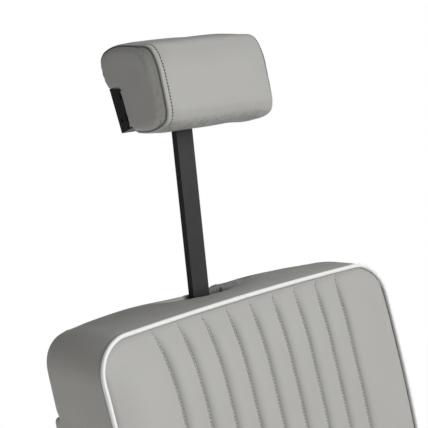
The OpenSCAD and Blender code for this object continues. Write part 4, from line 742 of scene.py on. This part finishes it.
SEAT_LOW_R, SEAT_LOW_SHARE = 10.0, 0.16
BULGE_SEAT = ([0, 0.05, 0.28, 0.6, 1 - SEAT_LOW_SHARE],
              [PIPING_D * e for e in (0, 0.33, 0.8, 0.6, 0.16)])


def seat_wall(u, v, d, o):
    e = boxing(d, BULGE_SEAT, SEAT_LOW_R, SEAT_LOW_SHARE)
    off = e + 0.7 * ripple(u + v, np.full_like(u, d * 90), 37) * math.sin(math.pi * min(1, d))
    return off, np.full_like(u, d)


SEAT_RINGS = [0.015, 0.034, 0.05, 0.08, 0.12, 0.17, 0.23, 0.3, 0.37, 0.44, 0.51, 0.58, 0.65, 0.72,
              0.78, 0.83, 0.87, 0.9, 0.93, 0.955, 0.975, 0.99, 1.0]
pts, quads, seam, seat_grid = stitched(
    SEAT_W / 2, SEAT_L, SEAT_R, 0.0, SEAT_CROWN, across(SEAT_W / 2, SEAT_R), SEAT_RINGS,
    seat_place, seat_wall, lambda p, u, v, d, o: p, 0.9, (50, 45), False, rear_rings=4)
piece("seat_upholstery", pts, quads, M["vinyl"], "seat", "grey_vinyl", ["seat_cushion"], seam=seam,
      fill=0.85)
seam_threads("seat_seam_threads", seat_grid, (0, 0, 1), "seat")
welt("seat", outline(SEAT_W / 2, SEAT_R, 0.0, SEAT_L), seat_place, (0, 0, 1))

# Arm pads

# The pad's section: shares of its width and height, with a seam at PAD_SEAM of the height
PAD_SEAM = 0.585
PAD_SHARES = [(0.94, 0.0), (0.985, 0.03), (1.0, 0.12), (1.004, 0.3), (1.002, 0.48), (0.996, 0.55),
              (0.985, PAD_SEAM), (0.99, 0.62), (0.985, 0.70), (0.965, 0.79), (0.93, 0.86),
              (0.87, 0.915), (0.78, 0.953), (0.65, 0.977), (0.45, 0.994), (0.22, 0.999)]
THREAD_ROW = 9
for side in ("left", "right"):
    low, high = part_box("arm_pad_" + side)
    mid = (low + high) / 2
    hw, hl, tall = (high.x - low.x) / 2 / MM, (high.y - low.y) / 2 / MM, (high.z - low.z) / MM
    r = hw * 0.8
    arc = np.radians(np.arange(0, 91, 7.5))
    quarter = [(hw - r + r * math.cos(a), hl - r + r * math.sin(a)) for a in arc]
    straight = [(hw, y) for y in np.linspace(-hl + r + 4, hl - r - 4, 44)]
    right = [(u, -w) for u, w in reversed(quarter)] + straight + quarter
    ring = np.array(right + [(-u, -w) for u, w in right])
    points, rows, marks = [], [], []
    for share, level in PAD_SHARES:
        edge = (1 - share) * hw
        u = ring[:, 0] * share
        w = ring[:, 1] - np.sign(ring[:, 1]) * edge * np.clip(np.abs(ring[:, 1]) / (hl - r), 0, 1)
        bulge = 0.4 * ripple(w, u + level * 40, 53) * (1 - level) * min(1, level * 4)
        # the row at the seam carries painted shade
        add_row(points, rows, marks, [(mid.x / MM + a + math.copysign(b, a), mid.y / MM + c,
                                       low.z / MM + level * tall) for a, b, c in zip(u, bulge, w)],
                0.55 if level == PAD_SEAM else 0.0)
    quads = strip(rows, len(ring))
    quads += cap(rows[-1], len(points)) + cap(rows[0], len(points) + 1, flip=True)
    under = (mid.x / MM, mid.y / MM, low.z / MM)
    points += [tuple(np.array(points)[rows[-1]].mean(0) + (0, 0, 0.001 * tall)), under]
    marks += [0.0, 0.0]
    piece("arm_rest_" + side, points, [q[::-1] for q in quads], M["vinyl"], "seat",
          "grey_vinyl", ["arm_pad_" + side], seam=marks, fill=0.85)
    path = np.array([points[i] for i in rows[THREAD_ROW]])
    out = path - np.array(under)
    out[:, 1] = np.where(np.abs(out[:, 1]) > hl - r, out[:, 1] * 0.3, 0)
    out[:, 2] = 20
    out /= np.linalg.norm(out, axis=1)[:, None]
    loop = np.vstack([path, path[:1]])
    piece("arm_threads_" + side, *stitches(loop, np.vstack([out, out[:1]])), M["thread"], "seat",
          "grey_vinyl")

# Headrest

BOLT_OUT = 257  # from the slit to the tilt bolt, along the bar
TURNED, TIPPED = -2.2, 0.5  # degrees by which the photo's headrest sits askew on its bolt
PIN_IN, PIN_UP = PAN_D * 0.4127, PAN_D * 0.7902
tilt = Vector((0, BACK_Y + BAR_Y + BOLT_OUT * math.sin(math.radians(BAR_LEAN)),
               SLOT_Z + BOLT_OUT * math.cos(math.radians(BAR_LEAN))))
askew = (Matrix.Translation(tilt * MM) @ Matrix.Rotation(math.radians(TURNED), 4, "Z")
         @ Matrix.Rotation(math.radians(TIPPED), 4, "Y") @ Matrix.Translation(-tilt * MM))


def head_place(x, y, z):
    """From the headrest's own frame to the chair, in millimetres."""
    a = math.radians(HEAD_LEAN)
    y, z = y + PIN_IN, z - PIN_UP
    p = np.stack([x + 0 * y, tilt.y + y * math.cos(a) + z * math.sin(a),
                  tilt.z - y * math.sin(a) + z * math.cos(a)], -1)
    m = np.array(askew)
    return p @ m[:3, :3].T + m[:3, 3] / MM


# The pad's side outline as shares of its depth and height
HEAD_OUTLINE = [(0.039, -0.011), (0.144, -0.039), (0.285, -0.078), (0.45, -0.118), (0.601, -0.131),
                (0.708, -0.122), (0.781, -0.089), (0.822, -0.032), (0.847, 0.033), (0.87, 0.165),
                (0.889, 0.304), (0.903, 0.437), (0.893, 0.56), (0.86, 0.655), (0.805, 0.713),
                (0.734, 0.749), (0.651, 0.774), (0.536, 0.812), (0.401, 0.854), (0.25, 0.885),
                (0.11, 0.891), (0.004, 0.876), (-0.069, 0.826), (-0.097, 0.732), (-0.091, 0.628),
                (-0.064, 0.541), (-0.015, 0.469), (0.03, 0.399), (0.045, 0.207)]
HEAD_MID = np.array([0.42, 0.38])
HEAD_SIZE = np.array([-HEAD_D, HEAD_H])
HEAD_CENTRE = HEAD_MID * HEAD_SIZE
SEAM_ROLL = 1.9  # depth of the seams
SEAM_IN = 4.6  # how far the left seam lies in from the side along its front
CORNER_W = 9.5  # width of the corner outside that seam
ROW_IN, ROW_RIGHT, ROW_PITCH = 8.2, 2.6, 4.3  # topstitching: left and right of the seams
ring = closed_curve(HEAD_OUTLINE, 168)
angle = np.linspace(0, 2 * math.pi, len(ring), endpoint=False)
x_seam = HEAD_W / 2 - HEAD_BULGE
seam_in = SEAM_IN * smooth(ring[:, 0], 0.62, 0.86)
slices = np.concatenate([[0, 0.8, 1.8, 3.0, 4.0, 4.6, 5.2, 6.0, 6.8, 7.5, 8.2, 9.0, 10.0],
                         np.arange(11.2, x_seam, 1.5)])
xs = np.concatenate([-(x_seam - slices), (x_seam - slices)[::-1]])
xs = xs[np.concatenate([[True], np.diff(xs) > 0.5])]
speck = np.random.default_rng(5)
rows, points, marks = [], [], []


def head_ring(scale, shift=0.0):
    """Y and Z of the pad's side outline, grown from its middle by scale and outward by shift."""
    q = (HEAD_MID + (ring - HEAD_MID) * scale) * HEAD_SIZE
    way = np.roll(q, -1, 0) - np.roll(q, 1, 0)
    normal = np.stack([way[:, 1], -way[:, 0]], 1)
    normal /= np.linalg.norm(normal, axis=1)[:, None]
    facing = np.sign(((q - HEAD_CENTRE) * normal).sum(1).mean())
    q = q + facing * normal * np.reshape(shift, (-1, 1))
    return q[:, 0], q[:, 1]


def head_scale(t):
    """The pad swells a little away from its seams."""
    return 1 + 0.044 * smooth(t / x_seam, -0.02, 0.3)


def head_fit(x, y, z):
    """Keeps the pad inside its steel pan."""
    y = np.where(z < PAN_H + 0.6, np.minimum(y, -PAN_T - 0.4), y)
    z = np.where(y > -1.23 * PAN_D - 0.4, np.maximum(z, PAN_T + 0.4), z)
    flange = (y > -PAN_D - 0.5) & (z < PAN_H)
    hold = HEAD_W / 2 - 1 - PAN_T - 0.4
    return np.where(flange, np.clip(x, -hold, hold), x), y, z


# Scale of each ring of the pad's side, and its share of the bulge
SIDE_RINGS = [(0.25, 0.84), (0.42, 0.88), (0.56, 0.94), (0.67, 1.01), (0.75, 1.06), (0.81, 1.06),
              (0.855, 1.0), (0.89, 0.87), (0.917, 0.67), (0.938, 0.44), (0.952, 0.22),
              (0.962, 0.03), (0.967, -0.15)]


def left_only(values, side):
    """The values on the left, where side is below 0, and zeros on the right."""
    return values if side < 0 else 0 * values


def corner_depth(out):
    """Depth of the left front corner, out mm beyond the plane x_seam."""
    w = np.maximum(out + SEAM_IN, 0)
    return -SEAM_ROLL - 1.1 * w - 3.0 * (w / CORNER_W) ** 4


def side_panel(sign, order):
    """The rings of the pad's side, -1 left and 1 right, whose left front corner is rounded off."""
    front = left_only(seam_in / seam_in.max(), sign)
    for scale, bulge in order:
        if scale > 0.9:
            bulge = bulge + front * (max(bulge, 0.16 + 4 * (0.967 - scale)) - bulge)
        out = (HEAD_BULGE + 0.2) * bulge - 0.6
        y, z = head_ring(scale, -6.0 * front * float(smooth(scale, 0.25, 0.81)))
        if scale > 0.82:
            y, z = head_ring(scale)
            y_in, z_in = head_ring(1, corner_depth(out + 0 * front))
            y, z = y + front * (y_in - y), z + front * (z_in - z)
        near = math.exp(-((0.93 - scale) / 0.08) ** 2)
        fold = 0.45 * near * np.sin(angle * 31 + 1.5 * np.sin(angle * 5))
        fold = fold * (0.5 + 0.5 * ripple(y, z, 61))
        x = sign * (x_seam + out + fold + 0.35 * ripple(y, z, 67) * bulge)
        # painted shade on the side's rings next to the seam, less where the left front corner is
        # rounded off
        mark = 0.62 if scale > 0.96 else 0.2 * (scale > 0.95)
        add_row(points, rows, marks, head_place(*head_fit(x, y, z)), mark * (1 - front))


side_panel(-1, SIDE_RINGS)
for x in xs:
    t = x_seam - abs(x)
    b = t - left_only(seam_in, x)
    roll = -SEAM_ROLL * np.exp(-(np.maximum(b, 0) / 1.3) ** 2)
    if x < 0:
        roll = roll - 0.3 * np.exp(-((b - ROW_IN) / 1.1) ** 2)
        roll = roll + (corner_depth(-t) + SEAM_ROLL) * (b < 0) * seam_in / seam_in.max()
    gather = 0.16 * np.exp(-((b - 2.5) / 3.0) ** 2) * np.sin(angle * 66)
    scale = float(head_scale(t))
    y, z = head_ring(scale)
    uneven = 0.5 * ripple(np.full(len(ring), x), y + z, 71) * smooth(t, 2, 25)
    y, z = head_ring(scale, roll + gather + uneven)
    # the lower front edge is grained, and the pad hangs lower on the right
    low = smooth(-z / HEAD_H, 0.08, 0.12) * smooth(-y / HEAD_D, 0.4, 0.6) * smooth(t, 6, 16)
    grain = speck.uniform(-1, 1, len(ring))
    z, y = z - low * 0.25 * grain, y - low * 0.2 * grain
    z = z - 3.0 * float(smooth(x / x_seam, 0.4, 1.0)) * smooth(0.3 - z / HEAD_H, 0, 0.3)
    # painted shade: a dark line in each seam and a little on the rounded corner beyond it; the
    # grained lower front edge gets darker specks
    mark = 0.95 * np.exp(-(b / 0.8) ** 2) + 0.1 * smooth(-b, 0.4, 1.6) + 0.3 * low * (grain > 0.2)
    add_row(points, rows, marks, head_place(*head_fit(np.full(len(ring), x), y, z)), mark)
side_panel(1, SIDE_RINGS[::-1])
quads = strip(rows, len(ring))
for row, sign in ((rows[0], -1), (rows[-1], 1)):
    quads += cap(row, len(points), flip=sign < 0)
    x = np.array([sign * (HEAD_W / 2 - 0.2)])
    points.extend(head_place(x, HEAD_CENTRE[:1], HEAD_CENTRE[1:]))
    marks.append(0.0)
points = np.array(points)
a, b, c = (points[[q[i] for q in quads[:4000]]] for i in range(3))
if (np.einsum("ij,ij->i", np.cross(b - a, c - a), (a + b + c) / 3 - points.mean(0))).sum() < 0:
    quads = [q[::-1] for q in quads]
piece("headrest_cushion", points, quads, M["vinyl"], "headrest", "grey_vinyl", ["headrest_pad"],
      seam=marks, fill=0.8)

threads, pricks = Batch(), Batch()
for sign in (-1, 1):
    row_in = seam_in + ROW_IN if sign < 0 else 0 * seam_in + ROW_RIGHT
    y, z = head_ring(head_scale(row_in)[:, None], 0.1)
    path = head_place(*head_fit(sign * (x_seam - row_in), y, z))
    mid = head_place(np.array([sign * (x_seam - ROW_IN)]), HEAD_CENTRE[:1], HEAD_CENTRE[1:])
    keep = ~((z < PAN_H + 4) & (y > -1.3 * PAN_D))
    first = int(np.argmax(keep & ~np.roll(keep, 1)))
    order = [(first + i) % len(path) for i in range(int(keep.sum()))]
    path, out = path[order], (path - mid)[order]
    threads.add(*stitches(path, out, length=2.2, pitch=ROW_PITCH, radius=0.6))
    out /= np.linalg.norm(out, axis=1)[:, None]
    pricks.add(*holes(path + 0.35 * out, out, pitch=ROW_PITCH, size=1.2))
piece("headrest_threads", threads.points, threads.faces, M["thread"], "headrest", "grey_vinyl")
piece("headrest_needle_holes", pricks.points, pricks.faces, M["hole"], "headrest", "grey_vinyl")

BOARD_SHARE = 0.96  # the turned board is drawn a little narrower, to stay inside the pad
LUG_X, LUG_ROOM = 0.025, 0.0009  # m; room for the bar between the lugs of the turned pan
for name in ("headrest_pan", "headrest_screws", "headrest_board"):
    mesh = frame["nodes"][name].data.copy()
    if name == "headrest_board":
        mesh.transform(Matrix.Diagonal((BOARD_SHARE, 1, 1, 1)))
    if name == "headrest_pan":
        for v in mesh.vertices:
            if abs(v.co.x) < LUG_X:
                v.co.x += math.copysign(LUG_ROOM, v.co.x)
    mesh.transform(askew)
    mesh.name = name + "_set"
    obj = bpy.data.objects.new(name + "_set", mesh)
    scene.collection.objects.link(obj)
    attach(obj, "headrest")
    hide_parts(name)

# Floor, light and camera

FLOOR_R, FLOOR_SIDES, FLOOR_Z = 2.4, 96, -0.0002
FLOOR_COLOR = (0.86, 0.86, 0.86, 1)
FADE_FROM, FADE_TO = 0.9, 1.9  # where the floor turns into the white background
WHITE = (1, 1, 1, 1)
AMBIENT = 0.165


def rays(tree, *kinds):
    """1 for the kinds of ray that are named, otherwise 0."""
    path = node(tree, "ShaderNodeLightPath")
    seen = path.outputs[kinds[0]]
    for kind in kinds[1:]:
        either = node(tree, "ShaderNodeMath", operation="MAXIMUM")
        tree.links.new(seen, either.inputs[0])
        tree.links.new(path.outputs[kind], either.inputs[1])
        seen = either.outputs["Value"]
    return seen


def mixed(tree, share, first, second, output):
    """Mixes two shaders into the tree's output node."""
    mix = node(tree, "ShaderNodeMixShader")
    tree.links.new(share, mix.inputs["Fac"])
    tree.links.new(first, mix.inputs[1])
    tree.links.new(second, mix.inputs[2])
    tree.links.new(mix.outputs["Shader"], node(tree, output).inputs["Surface"])


def floor_material():
    mat = bpy.data.materials.new("studio_floor")
    mat.use_nodes = True
    tree = mat.node_tree
    tree.nodes.clear()
    link = tree.links.new
    place = node(tree, "ShaderNodeTexCoord").outputs["Object"]
    noise = node(tree, "ShaderNodeTexNoise", Scale=6.0, Detail=3.0)
    link(place, noise.inputs["Vector"])
    spread = node(tree, "ShaderNodeMapRange")
    spread.inputs["To Min"].default_value, spread.inputs["To Max"].default_value = 0.55, 0.65
    link(noise.outputs["Fac"], spread.inputs["Value"])
    plain = node(tree, "ShaderNodeBsdfPrincipled")
    plain.inputs["Base Color"].default_value = FLOOR_COLOR
    link(spread.outputs["Result"], plain.inputs["Roughness"])
    glow = node(tree, "ShaderNodeEmission", Strength=1.0)
    length = node(tree, "ShaderNodeVectorMath", operation="LENGTH")
    link(place, length.inputs[0])
    far = node(tree, "ShaderNodeMapRange", interpolation_type="SMOOTHSTEP")
    far.inputs["From Min"].default_value, far.inputs["From Max"].default_value = FADE_FROM, FADE_TO
    link(length.outputs["Value"], far.inputs["Value"])
    both = node(tree, "ShaderNodeMath", operation="MULTIPLY")
    link(rays(tree, "Is Camera Ray", "Is Glossy Ray", "Is Transmission Ray"), both.inputs[0])
    link(far.outputs["Result"], both.inputs[1])
    mixed(tree, both.outputs["Value"], plain.outputs["BSDF"], glow.outputs["Emission"],
          "ShaderNodeOutputMaterial")
    return mat


mesh = bpy.data.meshes.new("floor")
corners = [2 * math.pi * k / FLOOR_SIDES for k in range(FLOOR_SIDES)]
mesh.from_pydata([(FLOOR_R * math.cos(a), FLOOR_R * math.sin(a), FLOOR_Z) for a in corners], [],
                 [list(range(FLOOR_SIDES))])
mesh.materials.append(floor_material())
floor = bpy.data.objects.new("floor", mesh)
scene.collection.objects.link(floor)
floor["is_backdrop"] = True

world = bpy.data.worlds.new("studio")
scene.world = world
world.use_nodes = True
tree = world.node_tree
tree.nodes.clear()
even = node(tree, "ShaderNodeBackground", Color=WHITE, Strength=AMBIENT)
white = node(tree, "ShaderNodeBackground", Color=WHITE, Strength=1.0)
mixed(tree, rays(tree, "Is Camera Ray", "Is Transmission Ray"), even.outputs["Background"],
      white.outputs["Background"], "ShaderNodeOutputWorld")


def soft_sun(name, towards, strength, spread):
    """Parallel light from a direction; strength 1 shows a facing colour as it is written."""
    data = bpy.data.lights.new(name, "SUN")
    data.energy = strength * math.pi
    data.angle = math.radians(spread)
    obj = bpy.data.objects.new(name, data)
    obj.rotation_euler = Vector(towards).to_track_quat("Z", "Y").to_euler()
    scene.collection.objects.link(obj)


soft_sun("key_light", (0.42, -0.84, 0.36), 0.69, 34)
soft_sun("top_light", (0.46, 0.10, 0.88), 0.215, 40)
SOFTBOX, SOFTBOX_AIM = Vector((-1.6, 0.2, 0.5)), Vector((-0.27, 0.42, 0.85))
softbox_data = bpy.data.lights.new("low_softbox", "AREA")
softbox_data.shape, softbox_data.size, softbox_data.energy = "DISK", 0.8, 4.6
softbox = bpy.data.objects.new("low_softbox", softbox_data)
softbox.location = SOFTBOX
softbox.rotation_euler = (SOFTBOX - SOFTBOX_AIM).to_track_quat("Z", "Y").to_euler()
softbox.visible_camera = False
scene.collection.objects.link(softbox)

# The photo's camera, placed from the middle of the back's top front edge
CAMERA = Vector((0, BACK_Y, BACK_Z)) + Vector((-1291.5, -1261.0, 570.2))
TURN, DOWN, FOCAL_PX, FRAME_PX = math.radians(44.24), math.radians(14.21), 1400.0, 428
right = Vector((math.cos(TURN), -math.sin(TURN), 0))
ahead = Vector((math.sin(TURN) * math.cos(DOWN), math.cos(TURN) * math.cos(DOWN), -math.sin(DOWN)))
up = right.cross(ahead)
camera_data = bpy.data.cameras.new("photo_camera")
camera_data.sensor_width = 36.0
camera_data.lens = camera_data.sensor_width * FOCAL_PX / FRAME_PX
camera_data.clip_start, camera_data.clip_end = 0.05, 60
camera = bpy.data.objects.new("photo_camera", camera_data)
scene.collection.objects.link(camera)
camera.matrix_world = Matrix([(*(axis[k] for axis in (right, up, -ahead)), CAMERA[k] * MM)
                              for k in range(3)] + [(0, 0, 0, 1)])
scene.camera = camera
scene.view_settings.view_transform = "Standard"

low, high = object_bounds()
